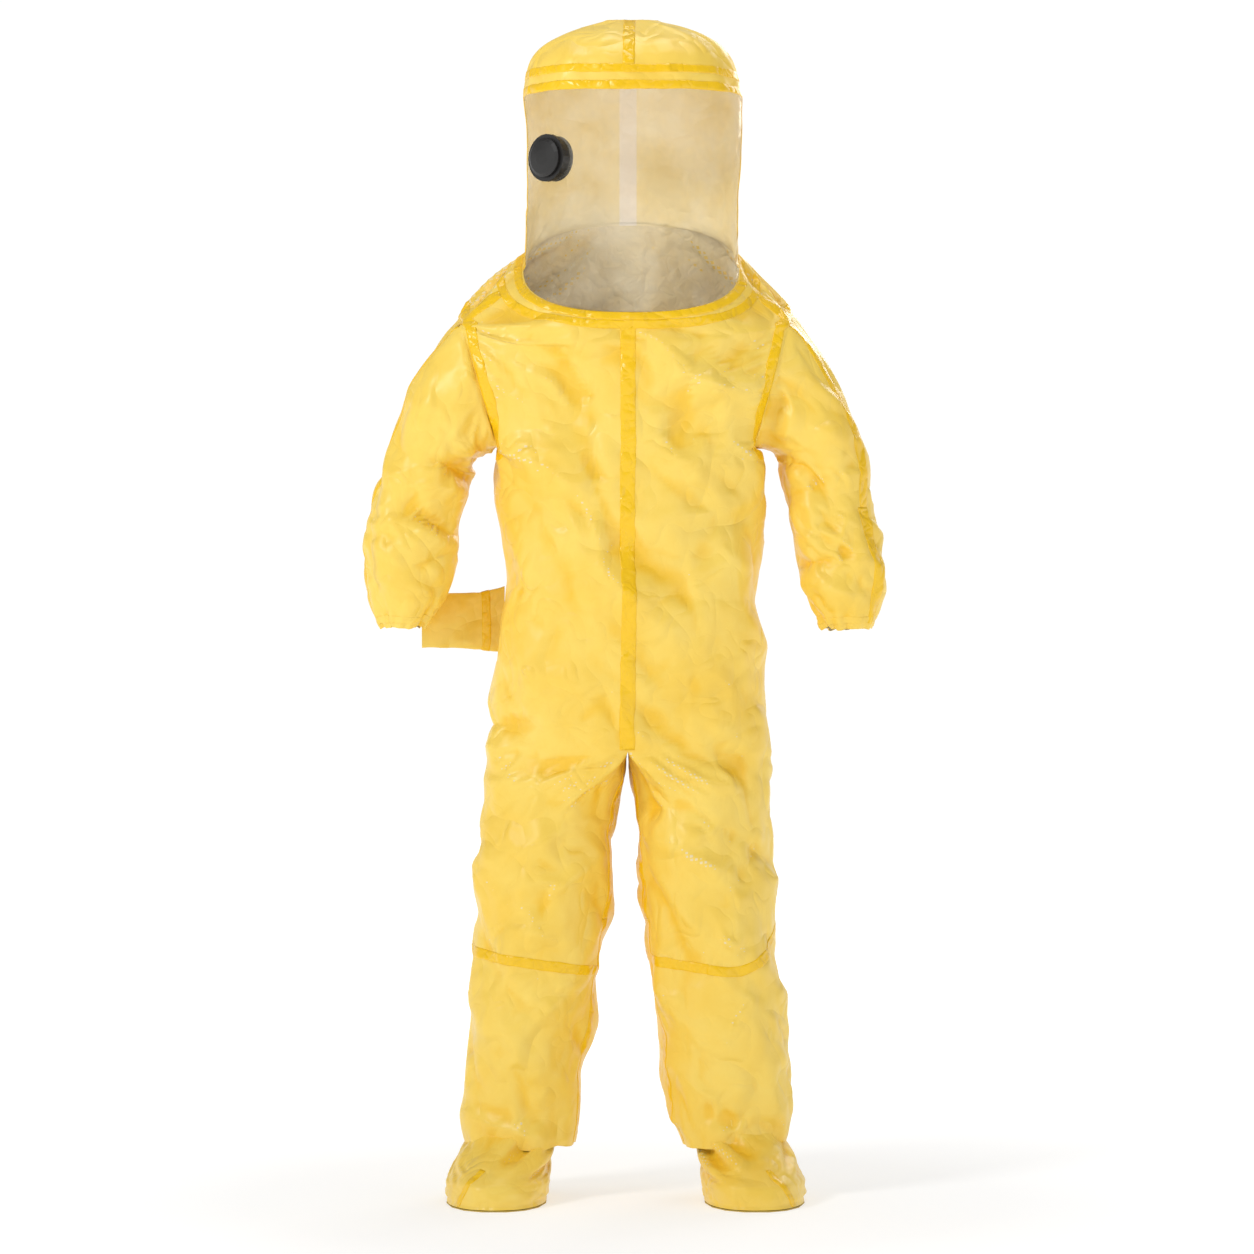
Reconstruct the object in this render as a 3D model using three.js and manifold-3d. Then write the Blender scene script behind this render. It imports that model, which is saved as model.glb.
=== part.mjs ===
// Encapsulating chemical protective suit, standing as if worn, with feet on the ground.
// Millimetres, +Z up, the front faces -Y and +X is the wearer's left.
// The garment is a set of closed fabric shells lofted through level or slightly tilted rings.
import * as THREE from 'three';
import { mergeVertices } from 'three/addons/utils/BufferGeometryUtils.js';
import Module from 'manifold-3d';

const wasm = await Module();
wasm.setup();

// ---------- driving dimensions ----------
const wall = 2;             // coated fabric, drawn thicker than it is so that it has a body
const visorWall = 1;        // clear flexible sheet
const gap = 0.3;            // between pieces that touch
const tape = 1.2;           // thickness of a seam tape
const tapeWidth = 24;       // width of the wide seam tapes
const narrowTape = 15;      // width of the tapes on the hood, knees and sleeves
const ringSides = 16;       // straight sides of a sleeve or leg ring
const bodyRingSides = 24;   // straight sides of a hood or torso ring

const backPlane = 166;      // the flat back, which the zipper runs up
const sideSeam = 26;        // y of the side seams
const frontSeam = 4;        // x of the centre front seam
const backSeam = 4;         // x of the rear zipper
const hipHeight = 728;      // where the legs leave the torso
const kneeHeight = 455;
const elbowHeight = 1110;
const visorTop = 1776;
const crownSeam = 1802;
const hoodSeam = 15;        // y where the visor ends and the hood back begins

const armholeTop = { x: 266, z: 1410 };
const armholeFoot = { x: 206, z: 1204 };

const zipFoot = 900;
const zipHead = 1770;
const zipHalfSlot = 9;

// ---------- rings: [z, low x, high x, front y, back y, squareness, rise of z over y] ----------
const hoodRings = [
  [1488, -164, 182, -124, 166, 2.4, 0.575],
  [1545, -162, 182, -124, 166, 2.4, 0.36],
  [1640, -162, 185, -124, 166, 2.4, 0.12],
  [1720, -164, 190, -124, 166, 2.4, 0],
  [1776, -168, 193, -125, 166, 2.4, 0],
  [1802, -169, 190, -125, 164, 2.4, 0],
  [1834, -162, 182, -114, 152, 2.3, 0],
  [1862, -130, 156, -84, 122, 2.2, 0],
  [1880, -84, 108, -42, 82, 2, 0],
  [1888, -26, 48, 4, 36, 2, 0],
];
const torsoRings = [
  [738, -233, 233, -88, 148, 2.6, 0],
  [800, -229, 230, -94, 156, 2.6, 0],
  [890, -225, 226, -102, 166, 2.6, 0],
  [1030, -203, 225, -108, 166, 2.5, 0],
  [1170, -204, 228, -112, 166, 2.5, 0],
  [1206, -206, 228, -114, 166, 2.5, 0.03],
  [1290, -248, 262, -116, 166, 2.5, 0.08],
  [1350, -276, 288, -118, 166, 2.5, 0.16],
  [1398, -284, 290, -119, 166, 2.5, 0.28],
  [1432, -250, 264, -120, 166, 2.45, 0.4],
  [1462, -204, 218, -122, 166, 2.4, 0.5],
  [1487.4, -164, 182, -124, 166, 2.4, 0.575],
];
// the wearer's left sleeve; the right one is its mirror image
const sleeveRings = [
  [926, 298, 412, -46, 66, 2, 0],
  [948, 294, 414, -49, 69, 2, 0],
  [970, 285, 421, -52, 74, 2, 0],
  [999, 275, 423, -53, 78, 2.1, 0],
  [1050, 272, 416, -51, 92, 2.1, 0],
  [1110, 257, 403, -48, 100, 2.1, 0],
  [1143, 251, 398, -49, 104, 2.1, 0],
  [1200, 243, 384, -52, 107, 2.1, 0],
  [1258, 197, 367, -54, 110, 2.1, 0],
  [1315, 175, 345, -54, 111, 2.1, 0],
  [1373, 165, 312, -46, 104, 2.1, 0],
  [1402, 178, 284, -30, 90, 2.1, 0],
  [1424, 205, 256, 0, 60, 2, 0],
];
// the wearer's left leg
const legRings = [
  [99, 77, 261, -66, 128, 2.2, 0],
  [135, 70, 270, -70, 132, 2.2, 0],
  [192, 59, 268, -72, 134, 2.2, 0],
  [307, 44, 259, -74, 136, 2.2, 0],
  [423, 33, 247, -78, 138, 2.2, 0],
  [480, 25, 243, -79, 139, 2.2, 0],
  [595, 11, 237, -82, 142, 2.2, 0],
  [728, 8, 234, -84, 144, 2.2, 0],
];
const sockRings = [
  [2, 126, 284, -170, 126, 2.3, 0],
  [14, 119, 291, -174, 132, 2.3, 0],
  [38, 119, 288, -166, 130, 2.3, 0],
  [62, 122, 276, -128, 128, 2.2, 0],
  [82, 118, 262, -80, 122, 2.1, 0],
  [100, 108, 248, -54, 114, 2.1, 0],
  [190, 104, 224, -44, 104, 2, 0],
];

// ---------- solids ----------
/** A closed three.js geometry as a manifold solid. */
function solidOf(geometry) {
  const plain = geometry.clone();
  plain.deleteAttribute('normal');
  plain.deleteAttribute('uv');
  const merged = mergeVertices(plain, 1e-4);
  const vertProperties = new Float32Array(merged.attributes.position.array);
  const triVerts = new Uint32Array(merged.index.array);
  return new wasm.Manifold(new wasm.Mesh({ numProp: 3, vertProperties, triVerts }));
}

/** A manifold solid as a three.js geometry. */
function geometryOf(solid) {
  const { vertProperties, triVerts } = solid.getMesh();
  const geometry = new THREE.BufferGeometry();
  geometry.setAttribute('position', new THREE.BufferAttribute(new Float32Array(vertProperties), 3));
  geometry.setIndex(new THREE.BufferAttribute(new Uint32Array(triVerts), 1));
  geometry.computeVertexNormals();
  return geometry;
}

/** An axis-aligned block between two corners. */
function block(x0, x1, y0, y1, z0, z1) {
  const geometry = new THREE.BoxGeometry(x1 - x0, y1 - y0, z1 - z0);
  geometry.translate((x0 + x1) / 2, (y0 + y1) / 2, (z0 + z1) / 2);
  return solidOf(geometry);
}

/** A big block on the side of a plane that its normal points to; the plane holds the Y direction. */
function sideOf(x, z, normalX, normalZ) {
  const size = 1200;
  const geometry = new THREE.BoxGeometry(size, size, size);
  geometry.translate(size / 2, 0, 0);
  geometry.rotateY(-Math.atan2(normalZ, normalX));
  geometry.translate(x, 0, z);
  return solidOf(geometry);
}

/** One ring's points: a superellipse, pulled in by inset, tilted by its rise. */
function ringPoints([z, x0, x1, y0, y1, squareness, rise], inset, sides) {
  const centre = new THREE.Vector2((x0 + x1) / 2, (y0 + y1) / 2);
  const reach = Math.cos(Math.PI / sides) ** (2 / squareness);
  const rx = ((x1 - x0) / 2 - inset) / reach;
  const ry = ((y1 - y0) / 2 - inset) / reach;
  const points = [];
  for (let k = 0; k < sides; k += 1) {
    const angle = (2 * Math.PI * (k + 0.5)) / sides;
    const c = Math.cos(angle);
    const s = Math.sin(angle);
    const x = Math.sign(c) * Math.abs(c) ** (2 / squareness) * rx;
    const y = Math.sign(s) * Math.abs(s) ** (2 / squareness) * ry;
    points.push(new THREE.Vector3(centre.x + x, centre.y + y, z + rise * y));
  }
  return points;
}

/** A closed loft through rings, with flat ends. */
function loft(rings, inset, sides) {
  const loops = rings.map((ring) => ringPoints(ring, inset, sides));
  const positions = [];
  const faces = [];
  for (const loop of loops) {
    for (const p of loop) positions.push(p.x, p.y, p.z);
  }
  for (let i = 0; i < loops.length - 1; i += 1) {
    for (let k = 0; k < sides; k += 1) {
      const a = i * sides + k;
      const b = i * sides + ((k + 1) % sides);
      faces.push(a, b, b + sides, a, b + sides, a + sides);
    }
  }
  for (const end of [0, loops.length - 1]) {
    const middle = new THREE.Vector3();
    for (const p of loops[end]) middle.addScaledVector(p, 1 / sides);
    const hub = positions.length / 3;
    positions.push(middle.x, middle.y, middle.z);
    for (let k = 0; k < sides; k += 1) {
      const a = end * sides + k;
      const b = end * sides + ((k + 1) % sides);
      if (end === 0) faces.push(hub, b, a);
      else faces.push(hub, a, b);
    }
  }
  const geometry = new THREE.BufferGeometry();
  geometry.setAttribute('position', new THREE.BufferAttribute(new Float32Array(positions), 3));
  geometry.setIndex(faces);
  return solidOf(geometry);
}

/** The same rings with a copy of the first or last one moved straight out, so that an end is open. */
function runPast(rings, below, above) {
  const first = rings[0];
  const last = rings[rings.length - 1];
  const out = [...rings];
  if (below > 0) out.unshift([first[0] - below, ...first.slice(1)]);
  if (above > 0) out.push([last[0] + above, ...last.slice(1)]);
  return out;
}

/** Rings moved down, for the inside of a domed top. */
const lowered = (rings, drop) => rings.map(([z, ...rest]) => [z - drop, ...rest]);

/** Rings of the other sleeve, leg or sock. */
const mirrored = (rings) => rings.map(([z, x0, x1, ...rest]) => [z, -x1, -x0, ...rest]);

/** The skin from inset low to inset high of a loft: negative insets lie outside the fabric. */
function skin(rings, outer, inner, sides) {
  return loft(rings, outer, sides).subtract(loft(runPast(rings, 20, 20), inner, sides));
}

/** A tape that lies on a loft wherever the region is. */
const tapeOn = (rings, region, sides) => skin(rings, -gap - tape, -gap, sides).intersect(region);

/** The largest of the separate lumps in a solid. */
function largest(solid) {
  const lumps = solid.decompose();
  return lumps.reduce((a, b) => (a.volume() > b.volume() ? a : b));
}

// ---------- materials ----------
const materials = {
  fabric: new THREE.MeshStandardMaterial({ color: 0xf9dc72, roughness: 0.5 }),
  tape: new THREE.MeshStandardMaterial({ color: 0xf8c60c, roughness: 0.35 }),
  visor: new THREE.MeshStandardMaterial({ color: 0xe0c89a, roughness: 0.15, transparent: true, opacity: 0.5 }),
  rubber: new THREE.MeshStandardMaterial({ color: 0x14120a, roughness: 0.45 }),
  webbing: new THREE.MeshStandardMaterial({ color: 0xece4d4, roughness: 0.8 }),
  zipper: new THREE.MeshStandardMaterial({ color: 0xd8b84a, roughness: 0.4 }),
  elastic: new THREE.MeshStandardMaterial({ color: 0xf4c93a, roughness: 0.8 }),
};
const suit = new THREE.Group();

function add(name, solid, material) {
  const mesh = new THREE.Mesh(geometryOf(solid), materials[material]);
  mesh.name = name;
  suit.add(mesh);
}

// ---------- hood ----------
const wide = 600;
const hoodOuter = loft(hoodRings, 0, bodyRingSides);
const hoodInner = loft(lowered(runPast(hoodRings, 20, 0), wall), wall, bodyRingSides);
const hoodShell = hoodOuter.subtract(hoodInner);
const aboveCrownSeam = block(-wide, wide, -wide, wide, crownSeam + gap, 2000);
const crown = hoodShell.intersect(aboveCrownSeam);
add('hood_crown_right', crown.intersect(block(-wide, frontSeam - gap, -wide, wide, 1700, 2000)), 'fabric');
add('hood_crown_left', crown.intersect(block(frontSeam, wide, -wide, wide, 1700, 2000)), 'fabric');

const browRegion = block(-wide, wide, -wide, hoodSeam - gap, visorTop + gap, crownSeam);
add('hood_brow_band', hoodShell.intersect(browRegion), 'fabric');

const zipSlot = block(backSeam - zipHalfSlot, backSeam + zipHalfSlot, 100, 300, zipFoot, zipHead + 10);
const hoodBack = hoodShell.intersect(block(-wide, wide, hoodSeam, wide, 1300, crownSeam)).subtract(zipSlot);
add('hood_back_right', hoodBack.intersect(block(-wide, backSeam - gap / 2, 0, wide, 1300, 2000)), 'fabric');
add('hood_back_left', hoodBack.intersect(block(backSeam + gap / 2, wide, 0, wide, 1300, 2000)), 'fabric');

// ---------- exhaust valve, turned on the visor's right side ----------
const valve = { x: -120, y: -86, z: 1655, turn: -0.72, hole: 24 };

/** A lathe round the valve's own axis, which points out of the visor. */
function valveLathe(profile, sides = 24) {
  const points = profile.map(([r, along]) => new THREE.Vector2(r, along));
  if (THREE.ShapeUtils.isClockWise(points)) points.reverse();
  const geometry = new THREE.LatheGeometry(points, sides);
  geometry.rotateZ(valve.turn);
  geometry.translate(valve.x, valve.y, valve.z);
  return solidOf(geometry);
}

/** A closed ring's profile between two radii and two places along the axis. */
const ringProfile = (r0, r1, a0, a1) => [[r1, a0], [r0, a0], [r0, a1], [r1, a1], [r1, a0]];
/** A disc's profile. */
const discProfile = (r, a0, a1) => [[0, a0], [r, a0], [r, a1], [0, a1]];

const visorShell = skin(hoodRings, 0, visorWall, bodyRingSides);
const visorRegion = block(-wide, wide, -wide, hoodSeam - gap, 1300, visorTop);
const visorHole = valveLathe(discProfile(valve.hole, 30, -30));
add('visor', visorShell.intersect(visorRegion).subtract(visorHole), 'visor');

const insideVisor = loft(hoodRings, visorWall + gap, bodyRingSides);
const outsideVisor = loft(hoodRings, -gap, bodyRingSides);
add('valve_body', valveLathe([[36, 16], [36, 13], [23.4, 13], [23.4, -12], [20, -12], [20, 16], [36, 16]]), 'rubber');
add('valve_gasket', valveLathe(ringProfile(24, 35, 12.7, -10)).intersect(insideVisor), 'rubber');
add('valve_retaining_ring', valveLathe(ringProfile(24, 37.5, 12, -9)).subtract(outsideVisor), 'rubber');
const coverProfile = [[31, -9.3], [31, -14], [26, -17], [12, -19], [0, -19.5], [0, -17.5], [12, -17],
  [25, -15], [28.5, -13], [28.5, -9.3], [31, -9.3]];
add('valve_cover', valveLathe(coverProfile), 'rubber');
add('valve_diaphragm', valveLathe(discProfile(22.5, -12.4, -13.4)), 'rubber');

// ---------- hood tapes ----------
const crownCentre = block(frontSeam - 9, frontSeam + 9, -wide, 150, crownSeam + narrowTape, 2000);
const hoodTapes = skin(hoodRings, -gap - tape, -gap, bodyRingSides);
add('crown_centre_tape', largest(hoodTapes.intersect(crownCentre)), 'tape');
const frontOfHood = (z0, z1) => block(-wide, wide, -wide, hoodSeam - gap, z0, z1);
add('crown_edge_tape', hoodTapes.intersect(frontOfHood(crownSeam - 4, crownSeam + 10)), 'tape');
add('visor_top_tape', hoodTapes.intersect(frontOfHood(visorTop - 9, visorTop + 8)), 'tape');
for (const [side, low, high] of [['right', -wide, 0], ['left', 0, wide]]) {
  const strip = block(low, high, hoodSeam, hoodSeam + 10, 1498, crownSeam + 6);
  add(`visor_side_tape_${side}`, hoodTapes.intersect(strip), 'tape');
}

// ---------- torso ----------
const legOuter = (rings) => loft(rings.slice(-1).concat([[760, ...rings[rings.length - 1].slice(1)]]), 0, ringSides);
const legInner = (rings) => {
  const top = rings[rings.length - 1].slice(1);
  return loft([[700, ...top], [765, ...top]], wall, ringSides);
};
const legs = { left: legRings, right: mirrored(legRings) };
const torsoOuter = loft(torsoRings, 0, bodyRingSides).add(legOuter(legs.left)).add(legOuter(legs.right));
const torsoHollow = [[740, ...torsoRings[0].slice(1)], ...torsoRings.slice(1)];
const torsoInner = loft(runPast(torsoHollow, 0, 20), wall, bodyRingSides)
  .add(legInner(legs.left)).add(legInner(legs.right));

/** Everything on the sleeve's side of an armhole; side is -1 for the right and 1 for the left. */
function beyondArmhole(side, shift) {
  const run = new THREE.Vector2(armholeFoot.x - armholeTop.x, armholeFoot.z - armholeTop.z).normalize();
  const out = new THREE.Vector2(-run.y, run.x);
  const x = side * (armholeTop.x + shift * out.x);
  const z = armholeTop.z + shift * out.y;
  return sideOf(x, z, side * out.x, out.y);
}

const aboveArmpit = block(-wide, wide, -wide, wide, armholeFoot.z, 2000);
const torsoShell = torsoOuter.subtract(torsoInner)
  .subtract(beyondArmhole(1, 0).intersect(aboveArmpit))
  .subtract(beyondArmhole(-1, 0).intersect(aboveArmpit))
  .subtract(zipSlot);

// the pass-through's hole at the right hip
const pass = { x: -222, y: 88, z: 926.5, length: 107, height: 93, thick: 16 };
function ovalTube(x0, x1, grow) {
  const shape = new THREE.Shape();
  const r = pass.thick / 2 + grow;
  const half = pass.height / 2 + grow - r;
  shape.absarc(0, half, r, 0, Math.PI, false);
  shape.absarc(0, -half, r, Math.PI, 2 * Math.PI, false);
  const geometry = new THREE.ExtrudeGeometry(shape, { depth: x1 - x0, bevelEnabled: false, curveSegments: 5 });
  geometry.rotateX(Math.PI / 2);
  geometry.rotateZ(Math.PI / 2);
  geometry.translate(x0, pass.y, pass.z);
  return solidOf(geometry);
}
const torsoBody = torsoShell.subtract(ovalTube(-300, -120, 0.6));

const torsoPanels = [
  ['torso_front_right', -wide, frontSeam - gap, -wide, sideSeam - gap],
  ['torso_front_left', frontSeam, wide, -wide, sideSeam - gap],
  ['torso_back_right', -wide, backSeam - gap / 2, sideSeam, wide],
  ['torso_back_left', backSeam + gap / 2, wide, sideSeam, wide],
];
for (const [name, x0, x1, y0, y1] of torsoPanels) {
  add(name, largest(torsoBody.intersect(block(x0, x1, y0, y1, 600, 2000))), 'fabric');
}

const torsoTapes = skin(torsoRings, -gap - tape, -gap, bodyRingSides);
const frontStrip = block(frontSeam - tapeWidth / 2, frontSeam + tapeWidth / 2, -wide, 0, 745, 1371);
add('centre_front_tape', torsoTapes.intersect(frontStrip), 'tape');

const collarRings = torsoRings.slice(-3);
const collarBand = loft(lowered(collarRings, 0), -gap - tape, bodyRingSides)
  .subtract(loft(runPast(collarRings, 20, 20), -gap, bodyRingSides));
const collarFloor = [[1455, ...hoodRings[0].slice(1)], [1486, ...hoodRings[0].slice(1)]];
const collarSlab = loft(collarFloor.map(([z, x0, x1, y0, y1, n, rise]) => [z, x0 - 60, x1 + 60, y0 - 60, y1 + 60, n, rise]),
  0, bodyRingSides);
const collarOpen = block(backSeam - 34, backSeam + 52, 100, 300, 1300, 2000);
add('collar_tape', collarBand.intersect(collarSlab).subtract(collarOpen), 'tape');

for (const [side, sign] of [['right', -1], ['left', 1]]) {
  const band = beyondArmhole(sign, -14).subtract(beyondArmhole(sign, -1));
  const region = band.intersect(block(-wide, wide, -wide, wide, 1235, 1500)).intersect(
    sign < 0 ? block(-wide, -100, -wide, wide, 1000, 2000) : block(100, wide, -wide, wide, 1000, 2000));
  add(`armhole_tape_${side}`, torsoTapes.intersect(region), 'tape');
}

// ---------- rear zipper, up the flat back ----------
/** A block whose x is counted from the zipper. */
const atZip = (x0, x1, ...rest) => block(backSeam + x0, backSeam + x1, ...rest);
const inside = backPlane - wall - gap;
for (const [side, sign] of [['right', -1], ['left', 1]]) {
  const [x0, x1] = [sign * 3.4, sign * 18].sort((a, b) => a - b);
  add(`zipper_tape_${side}`, atZip(x0, x1, inside - 1.2, inside, zipFoot - 8, zipHead), 'webbing');
}
add('zipper_teeth', atZip(-3, 3, inside - 1.5, backPlane + 0.4, zipFoot + 4, zipHead - 4), 'zipper');
add('zipper_top_stop', atZip(-5, 5, inside + 0.3, backPlane + 0.4, zipHead - 3.6, zipHead + 4), 'zipper');
add('zipper_bottom_stop', atZip(-5, 5, inside + 0.3, backPlane + 0.4, zipFoot + 0.4, zipFoot + 3.6), 'zipper');

const sliderTop = zipHead - 6;
const sliderPlate = backPlane + 0.8;
const slider = atZip(-6, 6, sliderPlate, sliderPlate + 2.4, sliderTop - 18, sliderTop)
  .add(atZip(-2, 2, sliderPlate + 2, sliderPlate + 5.4, sliderTop - 5, sliderTop - 3))
  .add(atZip(-2, 2, sliderPlate + 2, sliderPlate + 5.4, sliderTop - 15, sliderTop - 12))
  .add(atZip(-2, 2, sliderPlate + 4.7, sliderPlate + 5.4, sliderTop - 15, sliderTop - 3));
add('zipper_slider', slider, 'zipper');
const tabTop = sliderTop - 5.4;
const pullTab = atZip(-4.5, 4.5, sliderPlate + 2.9, sliderPlate + 4.1, tabTop - 36, tabTop)
  .subtract(atZip(-2.4, 2.4, 100, 300, tabTop - 12, tabTop - 1.6));
add('zipper_pull_tab', pullTab, 'zipper');

const flapHead = sliderTop - 50;
const flapFoot = zipFoot - 14;
const flapInner = sliderPlate + 5.7;
const flap = { x0: -34, x1: 34, thick: 1.5 };
add('storm_flap', atZip(flap.x0, flap.x1, flapInner, flapInner + flap.thick, flapFoot, flapHead), 'fabric');
add('flap_hook_strip', atZip(-32, -14, flapInner - 1.5, flapInner - gap, flapFoot + 6, flapHead - 6), 'webbing');
add('flap_seam_tape', atZip(34.6, 50, backPlane + gap, flapInner + flap.thick, flapFoot, flapHead), 'tape');
add('flap_loop_strip', atZip(-32, -14, backPlane + gap, backPlane + 1.5, flapFoot + 6, flapHead - 6), 'webbing');

// ---------- pass-through at the right hip ----------
const torsoSolid = loft(torsoRings, -gap, bodyRingSides);
const collarLip = ovalTube(pass.x, pass.x + 30, 9).subtract(torsoSolid);
const collarTube = ovalTube(pass.x, pass.x + 34, 0).add(collarLip).subtract(ovalTube(-400, -100, -1.6));
add('pass_through_collar', largest(collarTube), 'tape');
const passTube = ovalTube(pass.x - 1 - pass.length, pass.x - 1, 0).subtract(ovalTube(-400, -100, -1.5));
add('pass_through_sleeve', passTube, 'fabric');

// ---------- sleeves ----------
for (const [side, sign] of [['right', -1], ['left', 1]]) {
  const rings = sign > 0 ? sleeveRings : mirrored(sleeveRings);
  const outer = loft(rings, 0, ringSides);
  const inner = loft(runPast(rings, 20, 0), wall, ringSides);
  const shell = outer.subtract(inner).intersect(beyondArmhole(sign, 0.5));
  const upper = block(-wide, wide, -wide, wide, elbowHeight, 2000);
  const lower = block(-wide, wide, -wide, wide, 0, elbowHeight - 0.5);
  add(`upper_sleeve_${side}`, largest(shell.intersect(upper)), 'fabric');
  add(`lower_sleeve_${side}`, shell.intersect(lower), 'fabric');

  const tapes = skin(rings, -gap - tape, -gap, ringSides);
  const outside = sign > 0 ? [330, wide] : [-wide, -330];
  const strip = (z0, z1) => block(outside[0], outside[1], 17, 35, z0, z1);
  add(`upper_overarm_tape_${side}`, tapes.intersect(strip(elbowHeight + 1, 1340)), 'tape');
  add(`lower_overarm_tape_${side}`, tapes.intersect(strip(946, elbowHeight - 1)), 'tape');
  add(`cuff_elastic_${side}`, tapes.intersect(block(-wide, wide, -wide, wide, 930, 944)), 'elastic');
}

// ---------- legs and socks ----------
for (const [side, sign] of [['right', -1], ['left', 1]]) {
  const rings = sign > 0 ? legRings : mirrored(legRings);
  const shell = skin(rings, 0, wall, ringSides);
  add(`upper_leg_${side}`, shell.intersect(block(-wide, wide, -wide, wide, kneeHeight, hipHeight - 0.6)), 'fabric');
  add(`lower_leg_${side}`, shell.intersect(block(-wide, wide, -wide, wide, 0, kneeHeight - 0.6)), 'fabric');

  const tapes = skin(rings, -gap - tape, -gap, ringSides);
  add(`knee_tape_${side}`, tapes.intersect(block(-wide, wide, -wide, wide, 382, 397)), 'tape');

  const sock = sign > 0 ? sockRings : mirrored(sockRings);
  add(`sock_${side}`, skin(sock, 0, wall, ringSides), 'fabric');
  const sole = [[0, ...sock[0].slice(1)], [1.7, ...sock[0].slice(1)]];
  add(`sock_sole_${side}`, loft(sole, 0, ringSides), 'tape');

  const join = loft(rings, wall + gap, ringSides).intersect(block(-wide, wide, -wide, wide, 182, 184))
    .subtract(loft(runPast(sock, 0, 20), -gap, ringSides));
  add(`ankle_join_${side}`, join, 'fabric');
}

export default suit;
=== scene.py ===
# %% [markdown]
# # An encapsulating chemical suit
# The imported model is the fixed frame: every body, joint and hard part is already in its place.
# Here the garment gets its cloth. All lengths are metres, +Z is up, the front faces -Y and +X is
# the wearer's left.

import bpy
import numpy as np
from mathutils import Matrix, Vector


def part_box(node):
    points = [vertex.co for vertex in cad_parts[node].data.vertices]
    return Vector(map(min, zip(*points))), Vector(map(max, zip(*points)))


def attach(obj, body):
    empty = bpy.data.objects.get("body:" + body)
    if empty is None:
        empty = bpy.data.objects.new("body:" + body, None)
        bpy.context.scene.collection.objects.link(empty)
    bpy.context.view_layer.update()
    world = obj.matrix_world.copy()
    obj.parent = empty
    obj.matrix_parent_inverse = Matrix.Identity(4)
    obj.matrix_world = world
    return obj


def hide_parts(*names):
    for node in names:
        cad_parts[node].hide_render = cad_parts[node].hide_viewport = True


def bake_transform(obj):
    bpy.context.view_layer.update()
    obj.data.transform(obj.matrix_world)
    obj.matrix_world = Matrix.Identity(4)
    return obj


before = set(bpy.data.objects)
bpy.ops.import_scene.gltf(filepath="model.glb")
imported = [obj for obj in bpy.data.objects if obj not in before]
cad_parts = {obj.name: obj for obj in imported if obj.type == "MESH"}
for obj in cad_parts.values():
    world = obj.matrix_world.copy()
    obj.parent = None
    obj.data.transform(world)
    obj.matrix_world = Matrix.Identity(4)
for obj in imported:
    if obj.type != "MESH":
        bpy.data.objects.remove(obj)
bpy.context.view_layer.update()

MM = 0.001
SEAM_X = float(np.mean([corner[0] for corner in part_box("centre_front_tape")]))   # centre front and back

# %% [markdown]
# ## Camera
# The suit stands on a pale floor, against white. A long lens, 7 m away at half the suit's height,
# keeps the verticals straight.

# %% camera
CAMERA_DISTANCE = 7.0
CAMERA_HEIGHT = 0.914
FRAME_WIDTH = 2.0064       # metres across the picture at the suit

camera_data = bpy.data.cameras.new("camera")
camera_data.sensor_width = 36
camera_data.lens = camera_data.sensor_width * CAMERA_DISTANCE / FRAME_WIDTH
camera = bpy.data.objects.new("camera", camera_data)
camera.location = (0.0024, -CAMERA_DISTANCE, CAMERA_HEIGHT)
camera.rotation_euler = (np.pi / 2, 0, 0)
bpy.context.scene.collection.objects.link(camera)
bpy.context.scene.camera = camera
print("lens in mm:", round(camera_data.lens, 1))


# %% [markdown]
# ## Small helpers
# Everything here is made from arrays: a surface is a grid of points, its faces follow from the
# grid's size, and a material starts from its Principled node.

# %% helpers for meshes and materials
def link(name, verts, faces, material=None, smooth=True):
    """A mesh object from a vertex array and a face array (triangles or quads)."""
    mesh = bpy.data.meshes.new(name)
    mesh.from_pydata(np.asarray(verts, float).reshape(-1, 3).tolist(), [], [list(face) for face in faces])
    mesh.polygons.foreach_set("use_smooth", [smooth] * len(mesh.polygons))
    if material:
        mesh.materials.append(material)
    mesh.update()
    piece = bpy.data.objects.new(name, mesh)
    bpy.context.scene.collection.objects.link(piece)
    return piece


def grid_faces(rows, columns, closed=False, flip=False, start=0):
    """Quads of a grid stored row by row; closed joins the last column to the first."""
    index = np.arange(rows * columns).reshape(rows, columns) + start
    right = np.roll(index, -1, axis=1) if closed else index[:, 1:]
    left = index if closed else index[:, :-1]
    quads = np.stack([left[:-1], right[:-1], right[1:], left[1:]], axis=-1).reshape(-1, 4)
    return quads[:, ::-1] if flip else quads


def material(name):
    """A new material with its Principled node and its links."""
    made = bpy.data.materials.new(name)
    made.use_nodes = True
    tree = made.node_tree
    return made, tree, tree.nodes["Principled BSDF"]


# %% [markdown]
# ## Floor, backdrop and lamps
# The surround is plain white. A wall close behind the suit would block the views from the back, so a
# ring of glowing wall stands far out all round, and the floor glows more with distance, until it is
# as bright as the wall. Four soft lamps shape the folds: the key is small and comes
# from high on one side, because a grazing light shows creases.

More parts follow.
